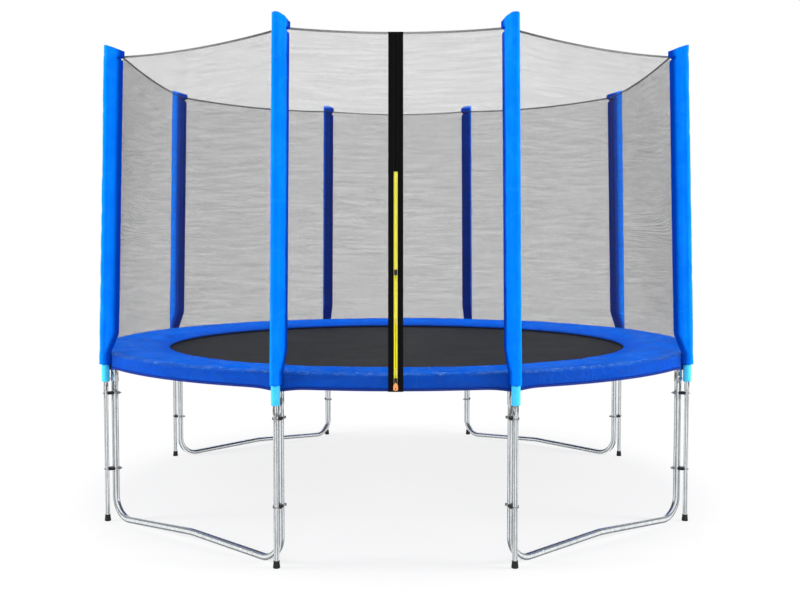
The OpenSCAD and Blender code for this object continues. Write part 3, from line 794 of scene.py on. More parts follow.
@dataclass(frozen=True)
class Galvanised:
    """Zinc-dipped steel tube: pale, faintly spangled, with darker draw streaks along it."""

    name: str = "galvanised_tube"
    pale: Colour = shade(242, 246, 248)
    dull: Colour = shade(176, 183, 187)
    dark: Colour = shade(70, 74, 76)

    def material(self) -> bpy.types.Material:
        """Spangle cells and long streaks over Object coordinates.

        Returns:
            The finished material.
        """
        b = Bench(self.name)
        at, _, _, z = b.place()
        streaks = b.noise(b.scaled(at, (1.0, 1.0, 0.05)), 110.0, 4.0, 0.62)
        blotch = b.noise(b.scaled(at, (1.0, 1.0, 0.3)), 60.0, 5.0, 0.66, 0.6)
        spangle = b.grains(at, 260.0)
        soft = b.mix(spangle * 0.16 + streaks.step(0.45, 0.65) * 0.35, self.pale, self.dull)
        # The upper lengths, under the pad, are mottled darker.
        upper = z.step(0.66, 0.76) * 0.80 + 0.08
        mottled = b.mix(blotch.step(0.47, 0.56) * upper, soft, self.dark)
        b.bump(streaks * 0.5 + spangle * 0.15 + blotch * 0.35, 0.0003, 0.45)
        return b.dress(
            Base_Color=mottled,
            Metallic=0.92,
            Roughness=blotch * 0.14 + spangle * 0.06 + 0.12,
            IOR=1.6,
        )


@dataclass(frozen=True)
class ZincPlate:
    """Bright plated steel of springs, clamps, rings and screws."""

    name: str = "zinc_steel"
    bright: Colour = shade(200, 202, 205)
    dull: Colour = shade(112, 114, 116)

    def material(self) -> bpy.types.Material:
        """Fine grain and darker handling marks over Object coordinates.

        Returns:
            The finished material.
        """
        b = Bench(self.name)
        at, _, _, _ = b.place()
        marks = b.noise(at, 70.0, 4.0, 0.6)
        grain = b.noise(at, 900.0, 2.0)
        b.bump(grain, 0.0001, 0.4)
        return b.dress(
            Base_Color=b.mix(marks.step(0.46, 0.7), self.bright, self.dull),
            Metallic=0.9,
            Roughness=marks * 0.3 + 0.16,
        )


@dataclass(frozen=True)
class CoatedCloth:
    """Shiny coated cloth: a fine scrim under the coat, crumples with painted highlights along their folds, and
    rows of stitching.
    """

    name: str
    colour: Colour
    # deep is random darker tone and also paints shade; pale is stitch thread and also paints the highlight on
    # folds.
    deep: Colour
    pale: Colour
    seams: tuple[float, ...] = ()
    rough: float = 0.30
    gloss: float = 0.06
    coat: float = 0.10
    crumple: float = 26.0
    crumple_depth: float = 0.0035
    scrim: float = 0.0011
    stitch: float = 0.0052
    stitch_half: float = 0.0009
    pucker_half: float = 0.004
    # band: a span of v darkened as painted shade, standing in for the shadow on a cover's net side.
    band: tuple[float, float] | None = None
    painted_shade_colour: Colour = (0.0, 0.003, 0.02)
    shaded: tuple[float, float] | None = None
    glint: tuple[float, float] | None = None
    glint_colour: Colour = shade(150, 205, 255)

    def material(self) -> bpy.types.Material:
        """Scrim, crumples and stitches over the piece's own UV in metres, v across the seams.

        Returns:
            The finished material.
        """
        b = Bench(self.name)
        _, u, across = b.cloth()
        v = across.abs()
        at, x, y, z = b.place()
        broad = b.noise(at, 5.0, 3.0, 0.55)
        crumple = (b.noise(at, self.crumple, 2.0, 0.4, 0.8) - 0.5).abs()
        folds = crumple.step(0.09, 0.0)
        scrim = u.wave(self.scrim) * 0.5 + v.wave(self.scrim) * 0.5
        height = folds * 0.4 + broad * 0.3 + scrim * 0.02
        tone = b.mix(broad.step(0.35, 0.65) * 0.35, self.colour, self.deep)
        # Painted highlight: the crumple folds are lightened towards pale.
        tone = b.mix(folds * 0.10, tone, self.pale)
        for seam in self.seams:
            row = v.near(seam, self.stitch_half) * (u.wave(self.stitch) > 0.32)
            pucker = v.near(seam, self.pucker_half)
            height = height + row * 0.25 - pucker * 0.16 * (u.wave(self.stitch * 2) * 0.4 + 0.6)
            tone = b.mix(row * 0.7, tone, self.pale)
            # The thread is pale; the pucker beside it is darkened towards deep as painted shade.
            tone = b.mix(pucker * 0.25, tone, self.deep)
        # Painted shade: the band of v is darkened, standing in for the shadow on the net side of each cover.
        if self.band:
            tone = b.mix(v.step(*self.band), tone, self.painted_shade_colour)
        if self.shaded:
            tone = b.mix(z.step(*self.shaded) * 0.6, tone, self.deep)
        if self.glint:
            # Short creases catch the light where the pad turns over its outer edge.
            radius = (x * x + y * y).math("SQRT")
            crease = (b.noise(at, 24.0, 3.0, 0.55, 0.9) - 0.5).abs().step(0.035, 0.0)
            edge = radius.step(*self.glint) * z.step(0.938, 0.948)
            tone = b.mix(crease * edge * 0.75, tone, self.glint_colour)
            height = height + crease * edge * 0.5
        b.bump(height, self.crumple_depth, 0.8)
        return b.dress(
            Base_Color=tone,
            Roughness=broad * 0.12 + crumple * 0.25 + self.rough,
            Specular_IOR_Level=self.gloss,
            Coat_Weight=folds * self.coat,
            Coat_Roughness=0.16,
        )


@dataclass(frozen=True)
class WovenMat:
    """Black jumping cloth: tight plain weave of flat tapes, faintly dusty."""

    name: str = "mat_cloth"
    dark: Colour = shade(18, 19, 22)
    dust: Colour = shade(38, 39, 43)
    thread: Colour = shade(120, 120, 122)
    tape: float = 0.0024
    seams: tuple[float, ...] = (1.562, 1.566, 1.578, 1.582)
    seam_r: float = 1.57
    stitch: float = 0.006
    stitch_half: float = 0.0008

    def material(self) -> bpy.types.Material:
        """Weave over x and y, stitching in rings at the seams' radii.

        Returns:
            The finished material.
        """
        b = Bench(self.name)
        at, x, y, _ = b.place()
        over = ((x / self.tape).floor() + (y / self.tape).floor()) * 0.5
        turn = over.fract() > 0.25
        warp, weft = (x / self.tape).fract() - 0.5, (y / self.tape).fract() - 0.5
        ridge = turn * (1 - warp * warp * 4) + (1 - turn) * (1 - weft * weft * 4)
        radius = (x * x + y * y).math("SQRT")
        around = y.math("ARCTAN2", x) * self.seam_r
        dashes = around.wave(self.stitch) > 0.35
        thread = sum((radius.near(seam, self.stitch_half) * dashes for seam in self.seams), 0.0)
        wear = b.noise(at, 2.6, 4.0, 0.6)
        tone = b.mix(ridge * 0.35 + wear.step(0.4, 0.75) * 0.4, self.dark, self.dust)
        tone = b.mix(thread * 0.5, tone, self.thread)
        b.bump(ridge + thread * 0.8, 0.0005, 0.7)
        return b.dress(Base_Color=tone, Roughness=wear * 0.15 + 0.52, Specular_IOR_Level=0.1)


@dataclass(frozen=True)
class Webbing:
    """Woven band: cross ribs, selvedges, and rows of stitching along it."""

    name: str
    colour: Colour = shade(22, 22, 23)
    rib: Colour = shade(46, 46, 48)
    seams: tuple[float, ...] = ()
    thread: Colour = shade(88, 88, 90)
    pitch: float = 0.0019
    stitch: float = 0.005
    stitch_half: float = 0.0008

    def material(self) -> bpy.types.Material:
        """Ribs across u, stitches along it at v, all in metres.

        Returns:
            The finished material.
        """
        b = Bench(self.name)
        _, u, v = b.cloth()
        at, _, _, _ = b.place()
        ribs = u.wave(self.pitch)
        twill = (u + v).wave(self.pitch * 0.7)
        fuzz = b.noise(at, 420.0, 2.0)
        height = ribs * 0.7 + twill * 0.3
        tone = b.mix(height * 0.4 + fuzz * 0.35, self.colour, self.rib)
        for seam in self.seams:
            row = v.near(seam, self.stitch_half) * (u.wave(self.stitch) > 0.3)
            height = height + row * 0.8
            tone = b.mix(row * 0.75, tone, self.thread)
        b.bump(height + fuzz * 0.3, 0.0004, 0.7)
        return b.dress(Base_Color=tone, Roughness=fuzz * 0.12 + 0.62, Specular_IOR_Level=0.07)


@dataclass(frozen=True)
class NetMesh:
    """Fine knitted mesh: rows of round holes, each row shifted by half a hole."""

    name: str = "net"
    thread: Colour = shade(20, 20, 22)
    worn: Colour = shade(44, 44, 47)
    pitch: float = 0.0036
    row: float = 0.0031
    hole: float = 0.474
    slack: float = 0.030
    twist: float = 0.0014

    def material(self) -> bpy.types.Material:
        """A hole in each cell of the UV: nearer its middle than hole, more or less by slack in long streaks.

        Returns:
            The finished material.
        """
        b = Bench(self.name)
        uv, u, v = b.cloth()
        level = v / self.row
        shift = (level.floor() * 0.5).fract()
        du = (u / self.pitch + shift).fract() - 0.5
        dv = level.fract() - 0.5
        far = (du * du + dv * dv).math("SQRT")
        loose = b.noise(b.scaled(uv, (0.055, 1.0, 1.0)), 62.0, 2.0, 0.5, 0.6).step(0.3, 0.7)
        solid = far > (loose * self.slack + self.hole - self.slack * 0.5)
        twist = (u + v).wave(self.twist)
        at, _, _, _ = b.place()
        tone = b.mix(twist * 0.5 + b.noise(at, 3.0, 2.0) * 0.3, self.thread, self.worn)
        b.bump(far.step(0.5, 0.7), 0.0006, 0.6)
        return b.dress(Base_Color=tone, Alpha=solid, Roughness=0.6, Specular_IOR_Level=0.1)


@dataclass(frozen=True)
class FoamSkin:
    """Closed-cell foam tube: fine cells, slight sheen, broad soft changes of tone."""

    name: str = "foam"
    colour: Colour = shade(70, 210, 252)
    deep: Colour = shade(28, 168, 232)

    def material(self) -> bpy.types.Material:
        """Cells over Object coordinates.

        Returns:
            The finished material.
        """
        b = Bench(self.name)
        at, _, _, _ = b.place()
        cells = b.cells(at, 420.0)
        broad = b.noise(b.scaled(at, (1.0, 1.0, 0.4)), 30.0, 3.0)
        b.bump(cells * 0.8 + broad * 0.4, 0.0007, 0.6)
        return b.dress(
            Base_Color=b.mix(cells * 0.5 + broad.step(0.4, 0.8) * 0.35, self.colour, self.deep),
            Roughness=broad * 0.1 + 0.5,
        )


@dataclass(frozen=True)
class Moulded:
    """Moulded plastic or rubber: fine grain, soft flow marks, dust in the hollows."""

    name: str
    colour: Colour
    worn: Colour
    rough: float = 0.45
    grain: float = 900.0
    grain_depth: float = 0.00015

    def material(self) -> bpy.types.Material:
        """Grain and flow marks over Object coordinates.

        Returns:
            The finished material.
        """
        b = Bench(self.name)
        at, _, _, _ = b.place()
        grain = b.cells(at, self.grain)
        flow = b.noise(at, 60.0, 4.0, 0.6, 0.5)
        b.bump(grain, self.grain_depth, 0.7)
        return b.dress(
            Base_Color=b.mix(flow.step(0.45, 0.8) * 0.6 + grain * 0.15, self.colour, self.worn),
            Roughness=flow * 0.2 + self.rough,
        )


# ---------------------------------------------------------------- pieces


def ribbon(
    cut: Cut,
    path: Array,
    side: Array,
    width: float,
    thick: float,
    closed: bool = False,
) -> Cut:
    """Adds a flat band with eased edges, carried along a path.

    A twelve-point section (a across, b through) is placed at each point as
    path + a side + b up, where up is tangent x side. Open ends are closed.

    Args:
        cut: the mesh that it is added to.
        path: middle of the band, count x 3.
        side: unit direction across the band at each point.
        width: across it.
        thick: through it.
        closed: the path's end joins its start.

    Returns:
        The mesh in the making.
    """
    if closed:
        tangent = np.roll(path, -1, axis=0) - np.roll(path, 1, axis=0)
        run = lengths(np.vstack([path, path[:1]]))
    else:
        tangent = np.gradient(path, axis=0)
        run = lengths(path)
    up = np.cross(tangent, side)
    up /= np.linalg.norm(up, axis=1, keepdims=True)
    w, h = width / 2, thick / 2
    c = min(h, w) * 0.6
    a = np.array([-w, c - w, -w / 3, w / 3, w - c, w, w, w - c, w / 3, -w / 3, c - w, -w])
    b = np.array([h - c, h, h, h, h, h - c, c - h, -h, -h, -h, -h, c - h])
    points = path[:, None, :] + side[:, None, :] * a[None, :, None] + up[:, None, :] * b[None, :, None]
    v = np.append(a, a[0])
    uv = np.stack(np.meshgrid(v, run, indexing="xy")[::-1], axis=-1)
    cut.grid(points, uv, around=True, along=closed, flip=True)
    if not closed:
        cut.fan(points[0]).fan(points[-1], flip=True)
    return cut


@dataclass(frozen=True)
class Shop:
    """The finishes, made once and shared, by the record's material slots."""

    finishes: dict[str, bpy.types.Material]

    @classmethod
    def stocked(cls) -> "Shop":
        """Makes every finish.

        Returns:
            The shop with all of them.
        """
        cover_seams = (0.0, 0.0950, 0.1180)
        pad_seams = (0.0015, 0.014, 0.2075, 0.4040)
        makers = (
            Galvanised(),
            ZincPlate(),
            # Each cloth's third colour is its stitch thread and the painted highlight on its folds.
            CoatedCloth(
                "blue_cover", shade(0, 124, 252), shade(0, 100, 232), shade(20, 160, 255),
                # band and the colour after it paint the shade on the net side of each cover.
                seams=cover_seams, band=(0.070, 0.099), painted_shade_colour=shade(0, 56, 166),
                crumple=7.0, crumple_depth=0.003, rough=0.26, gloss=0.03, coat=0.05,
            ),
            CoatedCloth(
                "blue_pad", shade(0, 108, 244), shade(0, 82, 220), shade(70, 170, 255),
                seams=pad_seams, crumple=11.0, crumple_depth=0.008, rough=0.34, gloss=0.0, coat=0.10,
                shaded=(0.950, 0.932), glint=(1.768, 1.800),
            ),
            FoamSkin(),
            Moulded("foot_rubber", shade(24, 24, 25), shade(52, 51, 50), rough=0.6),
            Moulded("black_plastic", shade(20, 20, 21), shade(44, 44, 46), rough=0.38),
            WovenMat(),
            Webbing("webbing", seams=(-0.0075, 0.0075, -0.020, 0.020)),
            NetMesh(
                "hem", thread=shade(40, 40, 43), worn=shade(70, 70, 74),
                pitch=0.0027, row=0.0024, hole=0.36,
            ),
            Webbing(
                "band", shade(7, 7, 8), shade(18, 18, 19), seams=(-0.0115, 0.0115),
                thread=shade(36, 36, 38), pitch=0.0014,
            ),
            Webbing("edging", shade(3, 34, 116), shade(8, 46, 138), seams=(0.0,), pitch=0.0014),
            NetMesh(),
            Webbing(
                "yellow_tape", shade(240, 228, 30), shade(255, 248, 84), seams=(0.0014,),
                thread=shade(170, 156, 20), pitch=0.0011,
            ),
            Moulded("orange_tab", shade(243, 150, 88), shade(250, 184, 138), rough=0.42),
            Moulded("red_tab", shade(120, 22, 18), shade(150, 44, 36), rough=0.42),
        )
        return cls({maker.name: maker.material() for maker in makers})

    def __getitem__(self, slot: str) -> bpy.types.Material:
        """The finish of a slot."""
        return self.finishes[slot]


def place_piece(piece: bpy.types.Object, body: str, slot: str, *nodes: str) -> bpy.types.Object:
    """Tells the frame what a piece belongs to.

    Args:
        piece: the piece.
        body: the body that it rides on.
        slot: the record's material slot; not used.
        *nodes: the nodes that it stands for.

    Returns:
        The piece.
    """
    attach(piece, body)
    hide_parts(*nodes)
    LOG.info("%s: %d faces, stands for %s", piece.name, len(piece.data.polygons), ", ".join(nodes))
    return piece


@dataclass(frozen=True)
class Hardware:
    """The rigid parts whose solids are shown as they are, each with its finish."""

    nodes: dict[str, bpy.types.Object]
    shop: Shop
    kinds: ClassVar[dict[str, tuple[str, ...]]] = {
        "galvanised_tube": ("ring_segment", "leg_base", "leg_uprights", "net_pole"),
        "zinc_steel": ("u_bolts", "clamp_plates", "clamp_nuts", "socket_screws", "mat_rings"),
        "foot_rubber": ("foot_caps",),
        "black_plastic": ("pole_caps", "clamp_spacers", "lower_zip_slider", "upper_zip_slider"),
        "orange_tab": ("lower_pull_tab",),
        "red_tab": ("upper_pull_tab",),
    }

    def build(self) -> None:
        """Gives each shown node the finish of its slot."""
        slots = {kind: slot for slot, kinds in self.kinds.items() for kind in kinds}
        for name, node in self.nodes.items():
            slot = slots.get(name.rstrip("0123456789").rstrip("_"))
            if slot:
                for place in node.material_slots:
                    place.material = self.shop[slot]
                LOG.info("%s: dressed as %s", name, slot)


@dataclass(frozen=True)
class SpringSet:
    """72 extension springs: hook, close-wound coil, straight tail and its turn down."""

    shop: Shop
    wire_r: float = 0.0016
    coil_r: float = 0.0094
    hook_r: float = 0.0039
    ring_end: float = 1.6160
    shoulder: float = 1.6320
    coil: tuple[float, float] = (1.6400, 1.7660)
    axis_end: float = 1.7740
    tail_r: float = 1.79686
    turn_r: float = 0.0030
    tail: float = 0.0040
    turns: int = 32
    per_turn: int = 10
    sides: int = 5
    per_piece: int = 3
    give_way: tuple[float, float] = (1.760, 1.622)

    def wire(self) -> tuple[Array, Array]:
        """The wire's middle line and guide directions, with -Y outwards.

        Each stretch gives radius from the middle, distance from the spring's axis
        and the turn q round it: the point is (rho cos q, -radius, rho sin q). The
        guide is (cos g, 0, sin g), where g follows q in the coil and eases to 0,
        sideways, at both ends.

        Returns:
            The points and the guides.
        """
        half = math.pi / 2
        q = np.linspace(-half, half, 9)
        hook = (self.ring_end - self.hook_r * np.cos(q), self.hook_r * np.sin(q), 0 * q)
        s = np.linspace(0, 1, 9)[1:]
        neck = (self.ring_end + (self.shoulder - self.ring_end) * s, self.hook_r + 0 * s, half * s)
        count = (self.turns + 2) * self.per_turn
        k = np.arange(1, count + 1) / self.per_turn
        grow = ease(k, 0, 1) * (1 - ease(k, self.turns + 1, self.turns + 2))
        rho = np.where(k < 2, self.hook_r + (self.coil_r - self.hook_r) * grow, self.coil_r * grow)
        low, high = self.coil
        along = np.interp(k, [0, 1, self.turns + 1, self.turns + 2], [self.shoulder, low, high, self.axis_end])
        turn = half + 2 * math.pi * k
        end = float(turn[-1])
        start = self.tail_r - self.turn_r
        s = np.linspace(0, 1, 8)[1:]
        rest = end + (math.ceil(end / (2 * math.pi)) * 2 * math.pi - end) * s
        straight = (self.axis_end + (start - self.axis_end) * s, 0 * s, rest)
        b = np.linspace(0, half, 6)[1:]
        bend = (start + self.turn_r * np.sin(b), self.turn_r * (np.cos(b) - 1), 0 * b)
        drop = np.linspace(0, 1, 3)[1:]
        leg = (self.tail_r + 0 * drop, -self.turn_r - self.tail * drop, 0 * drop)
        flat = [np.stack([0 * r, -r, z], axis=1) for r, z in (hook[:2], neck[:2])]
        coil = np.stack([rho * np.cos(turn), -along, rho * np.sin(turn)], axis=1)
        back = [np.stack([0 * r, -r, z], axis=1) for r, z in (straight[:2], bend[:2], leg[:2])]
        guide = np.concatenate([hook[2], neck[2], turn, straight[2], bend[2], leg[2]])
        guides = np.stack([np.cos(guide), 0 * guide, np.sin(guide)], axis=1)
        return np.concatenate([*flat, coil, *back]), guides

    def build(self) -> None:
        """Makes the springs, three to a piece, each stretching from the ring to the mat."""
        path, guides = self.wire()
        skin = swept(path, guides, self.wire_r, self.sides)
        step = 360.0 / PLAN.spring_count
        for group in range(PLAN.spring_count // self.per_piece):
            cut = Cut(f"springs_{group + 1:02d}")
            for k in range(self.per_piece):
                angle = (group * self.per_piece + k + 0.5) * step
                cut.tube(at_angle(skin, angle, 0.0, PLAN.ring_h))
            piece = cut.build(self.shop["zinc_steel"], crease=80)
            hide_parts("springs")
            middle = (group * self.per_piece + self.per_piece / 2) * step
            start, end = (tuple(polar(middle, r, PLAN.ring_h)) for r in self.give_way)
            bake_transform(piece)
        LOG.info("springs: %d, three to a piece", PLAN.spring_count)


@dataclass(frozen=True)
class JumpingMat:
    """The taut mat, the webbing under its edge and a sewn loop for each wire ring."""

    shop: Shop
    thick: float = 0.0012
    ring_r: float = 1.6020
    band_in: float = 1.5490
    band_out: float = 1.5970
    band_h: tuple[float, float] = (0.9019, 0.9047)
    strap_w: float = 0.020
    strap_t: float = 0.0012
    strap_turn: float = 0.00305
    strap_in: float = 1.5640
    strap_over: float = 0.0009
    strap_under: float = 0.0007
    wave_h: float = 0.0004
    slack_h: float = 0.0009
    rings: int = 46
    spokes: int = 288
    band_steps: int = 432

    def surface(self, low: float) -> Array:
        """Rings of points: the height rises by small waves towards each loop at the edge.

        The wave is wave_h times 0.5 - 0.5 cos(72 a) times the tenth power of
        radius / edge. The slack is up to slack_h of smooth noise times 1 less the
        fourth power of radius / edge.

        Args:
            low: height of this face.

        Returns:
            rings x spokes x 3.
        """
        share = np.linspace(0.01, 1, self.rings) ** 0.8
        angle = np.arange(self.spokes) * 360.0 / self.spokes
        r, a = np.meshgrid(share, angle, indexing="ij")
        wave = (np.cos(np.radians(a) * PLAN.spring_count + math.pi) * 0.5 + 0.5) * r**10 * self.wave_h
        slack = (ripple(a / 360, r * 0.5, (9, 6), 4) * 0.5 + 0.5) * (1 - r**4) * self.slack_h
        return polar(a, PLAN.mat_r * r, low + wave + slack)

    def build(self) -> None:
        """Makes the mat, its webbing and its loops."""
        cut = Cut("mat_disc")
        top = self.surface(PLAN.mat_top_h - self.wave_h)
        bottom = self.surface(PLAN.mat_top_h - self.thick)
        cut.tube(np.concatenate([bottom, top[::-1]]))
        mat = place_piece(cut.build(self.shop["mat_cloth"], weld=1e-5), "mat", "mat_cloth", "jumping_mat")
        angle = np.arange(self.band_steps) * 360.0 / self.band_steps
        cut = Cut("mat_webbing_band")
        middle, tall = (self.band_in + self.band_out) / 2, sum(self.band_h) / 2
        out = polar(angle, 1.0, 0.0)
        thick = self.band_h[1] - self.band_h[0]
        ribbon(cut, polar(angle, middle, tall), out, self.band_out - self.band_in, thick, closed=True)
        band = place_piece(cut.build(self.shop["webbing"]), "mat", "webbing", "mat_webbing")
        loops = place_piece(self.loops(), "mat", "webbing", "mat_webbing")

    def loops(self) -> bpy.types.Object:
        """A strap over the mat, round each ring's bar and back under the webbing.

        Its middle line is straight above the mat, a half circle round the bar and
        straight below the webbing, the ends meeting the circle at its top and bottom.

        Returns:
            The straps as one piece.
        """
        q = np.linspace(math.pi / 2, -math.pi / 2, 11)
        turn = np.stack([self.ring_r + self.strap_turn * np.cos(q), PLAN.ring_h + self.strap_turn * np.sin(q)], 1)
        s = ease(np.linspace(0, 1, 9)[:-1], 0.35, 1.0)
        run = np.linspace(self.strap_in, self.ring_r, 9)[:-1]
        high, low = PLAN.mat_top_h + self.strap_over, self.band_h[0] - self.strap_under
        above = high + (PLAN.ring_h + self.strap_turn - high) * s
        below = low + (PLAN.ring_h - self.strap_turn - low) * s
        path = np.concatenate([np.stack([run, above], 1), turn, np.stack([run, below], 1)[::-1]])
        local = np.stack([0 * path[:, 0], -path[:, 0], path[:, 1]], axis=1)
        side = np.broadcast_to(np.array([1.0, 0.0, 0.0]), local.shape)
        cut = Cut("mat_webbing_loops")
        step = 360.0 / PLAN.spring_count
        for k in range(PLAN.spring_count):
            a = (k + 0.5) * step
            ribbon(cut, at_angle(local, a), at_angle(side, a), self.strap_w, self.strap_t)
        return cut.build(self.shop["webbing"], crease=70)


@dataclass(frozen=True)
class SafetyPad:
    """The padded ring over the springs: crowned top, rolled inner edge, skirt outside."""

    shop: Shop
    columns: int = 960
    middle_r: float = 1.65
    edge_r: float = 0.009
    side_t: float = 0.020
    crown: float = 0.011
    fold_r: float = 0.006
    skirt_t: float = 0.0012
    skirt_low: float = 0.8693
    seams: tuple[float, ...] = (0.0, 45.0, 90.0, 135.0, 180.0, 225.0, 270.0, 315.0)
    seam_depth: float = 0.0045
    seam_half: float = 0.9
    undulation: float = 0.0030
    broad_cells: tuple[int, int] = (40, 5)
    fine_cells: tuple[int, int] = (130, 9)
    fold_cells: tuple[int, int] = (170, 3)
    wrinkle: float = 0.0050
    wrinkle_low: float = 0.012
    droop: float = 0.0135
    droop_r: tuple[float, float] = (1.50, 1.625)

    def outline(self) -> tuple[Array, Array, Array]:
        """The closed cross-section from the outer fold inwards over the top and back below.

        Radius and height of each point; the crown is a circle through both edges
        and the raised middle.

        Returns:
            Radius and height; how much the top's undulation moves each point; how
            much the outer fold's wrinkles move it.
        """
        low, inner, outer = PLAN.pad_low_h, PLAN.pad_in_r, PLAN.pad_out_r
        half = (outer - inner) / 2
        big = (half**2 + self.crown**2) / (2 * self.crown)
        middle, top = inner + half, low + self.side_t

        def crown_h(r: Array) -> Array:
            """Height of the crown at a radius."""
            return top + self.crown - big + np.sqrt(big**2 - (r - middle) ** 2)

        f, e = self.fold_r, self.edge_r
        q = np.linspace(0, math.pi / 2, 6)
        fold = np.stack([outer - f + f * np.cos(q), crown_h(outer - f) - f + f * np.sin(q)], 1)
        r = np.linspace(outer - f, inner + 2 * e, 38)[1:]
        over = np.stack([r, crown_h(r)], 1)
        q = np.linspace(math.pi / 2, 1.5 * math.pi, 9)[1:]
        tall = (crown_h(inner + 2 * e) - low) / 2
        roll = np.stack([inner + 2 * e + 2 * e * np.cos(q) * 0.98, low + tall + tall * np.sin(q)], 1)
        r = np.linspace(inner + 2 * e, outer - self.skirt_t, 9)[1:]
        under = np.stack([r, 0 * r + low], 1)
        h = np.linspace(low, self.skirt_low, 7)[1:]
        inside = np.stack([0 * h + outer - self.skirt_t, h], 1)
        h = np.linspace(self.skirt_low, fold[0, 1], 12)[:-1]
        outside = np.stack([0 * h + outer, h], 1)
        ring = np.concatenate([fold, over, roll, under, inside, outside])
        rise = ease(ring[:, 1], low + 0.6 * self.side_t, top + 0.002) * ease(outer - ring[:, 0], 0.0, 0.05)
        crease = ease(ring[:, 0], outer - 0.055, outer - 0.004) * ease(ring[:, 1], low, low + self.wrinkle_low)
        return ring, rise, crease

    def build(self) -> None:
        """Makes the pad: the section carried round, with undulations, seams and wrinkles.

        Height is added on the top as smooth noise, is taken away in a narrow bell
        at each radial seam, and the outer fold is drawn in by short creases that
        run across it. The inner part droops towards the mat, and the skirt hangs
        lower beside each pole.
        """
        ring, rise, crease = self.outline()
        a = np.arange(self.columns) * 360.0 / self.columns
        share = a[None, :] / 360
        r = np.repeat(ring[:, :1], self.columns, 1)
        z = np.repeat(ring[:, 1:], self.columns, 1)
        across = (r - PLAN.pad_in_r) / (PLAN.pad_out_r - PLAN.pad_in_r) * 0.5
        swell = ripple(share, across, self.broad_cells, 11) * 0.65
        swell = swell + ripple(share, across, self.fine_cells, 12) * 0.35
        seam = np.zeros(self.columns)
        for angle in self.seams:
            off = (a - angle + 180) % 360 - 180
            seam = np.maximum(seam, np.exp(-((off / self.seam_half) ** 2)))
        z = z + rise[:, None] * (swell * self.undulation - seam[None, :] * self.seam_depth)
        folds = creased(share, across * 0.7, self.fold_cells, 21, 2)
        draw = crease[:, None] * np.clip(folds * 1.5 - 0.25, 0, 1) * self.wrinkle
        z = z - draw * ease(z, PLAN.pad_low_h, PLAN.pad_low_h + self.wrinkle_low)
        r = r - draw * 0.3 * ease(r, PLAN.pad_out_r - 0.02, PLAN.pad_out_r)
        z = z - self.droop * (1 - ease(ring[:, :1], *self.droop_r))
        hang = np.maximum(PLAN.pad_low_h - ring[:, 1:], 0) / (PLAN.pad_low_h - self.skirt_low)
        z = z - hang * skirt_dip(a)[None, :]
        points = polar(a[None, :], r, z)
        run = lengths(np.vstack([ring, ring[:1]]))
        uv = np.stack(np.meshgrid(np.linspace(0, 2 * math.pi * self.middle_r, self.columns + 1), run), axis=-1)
        cut = Cut("pad_cushion").grid(points, uv, around=True, along=True)
        piece = cut.build(self.shop["blue_pad"], crease=60)
        place_piece(piece, "frame", "blue_pad", "safety_pad")


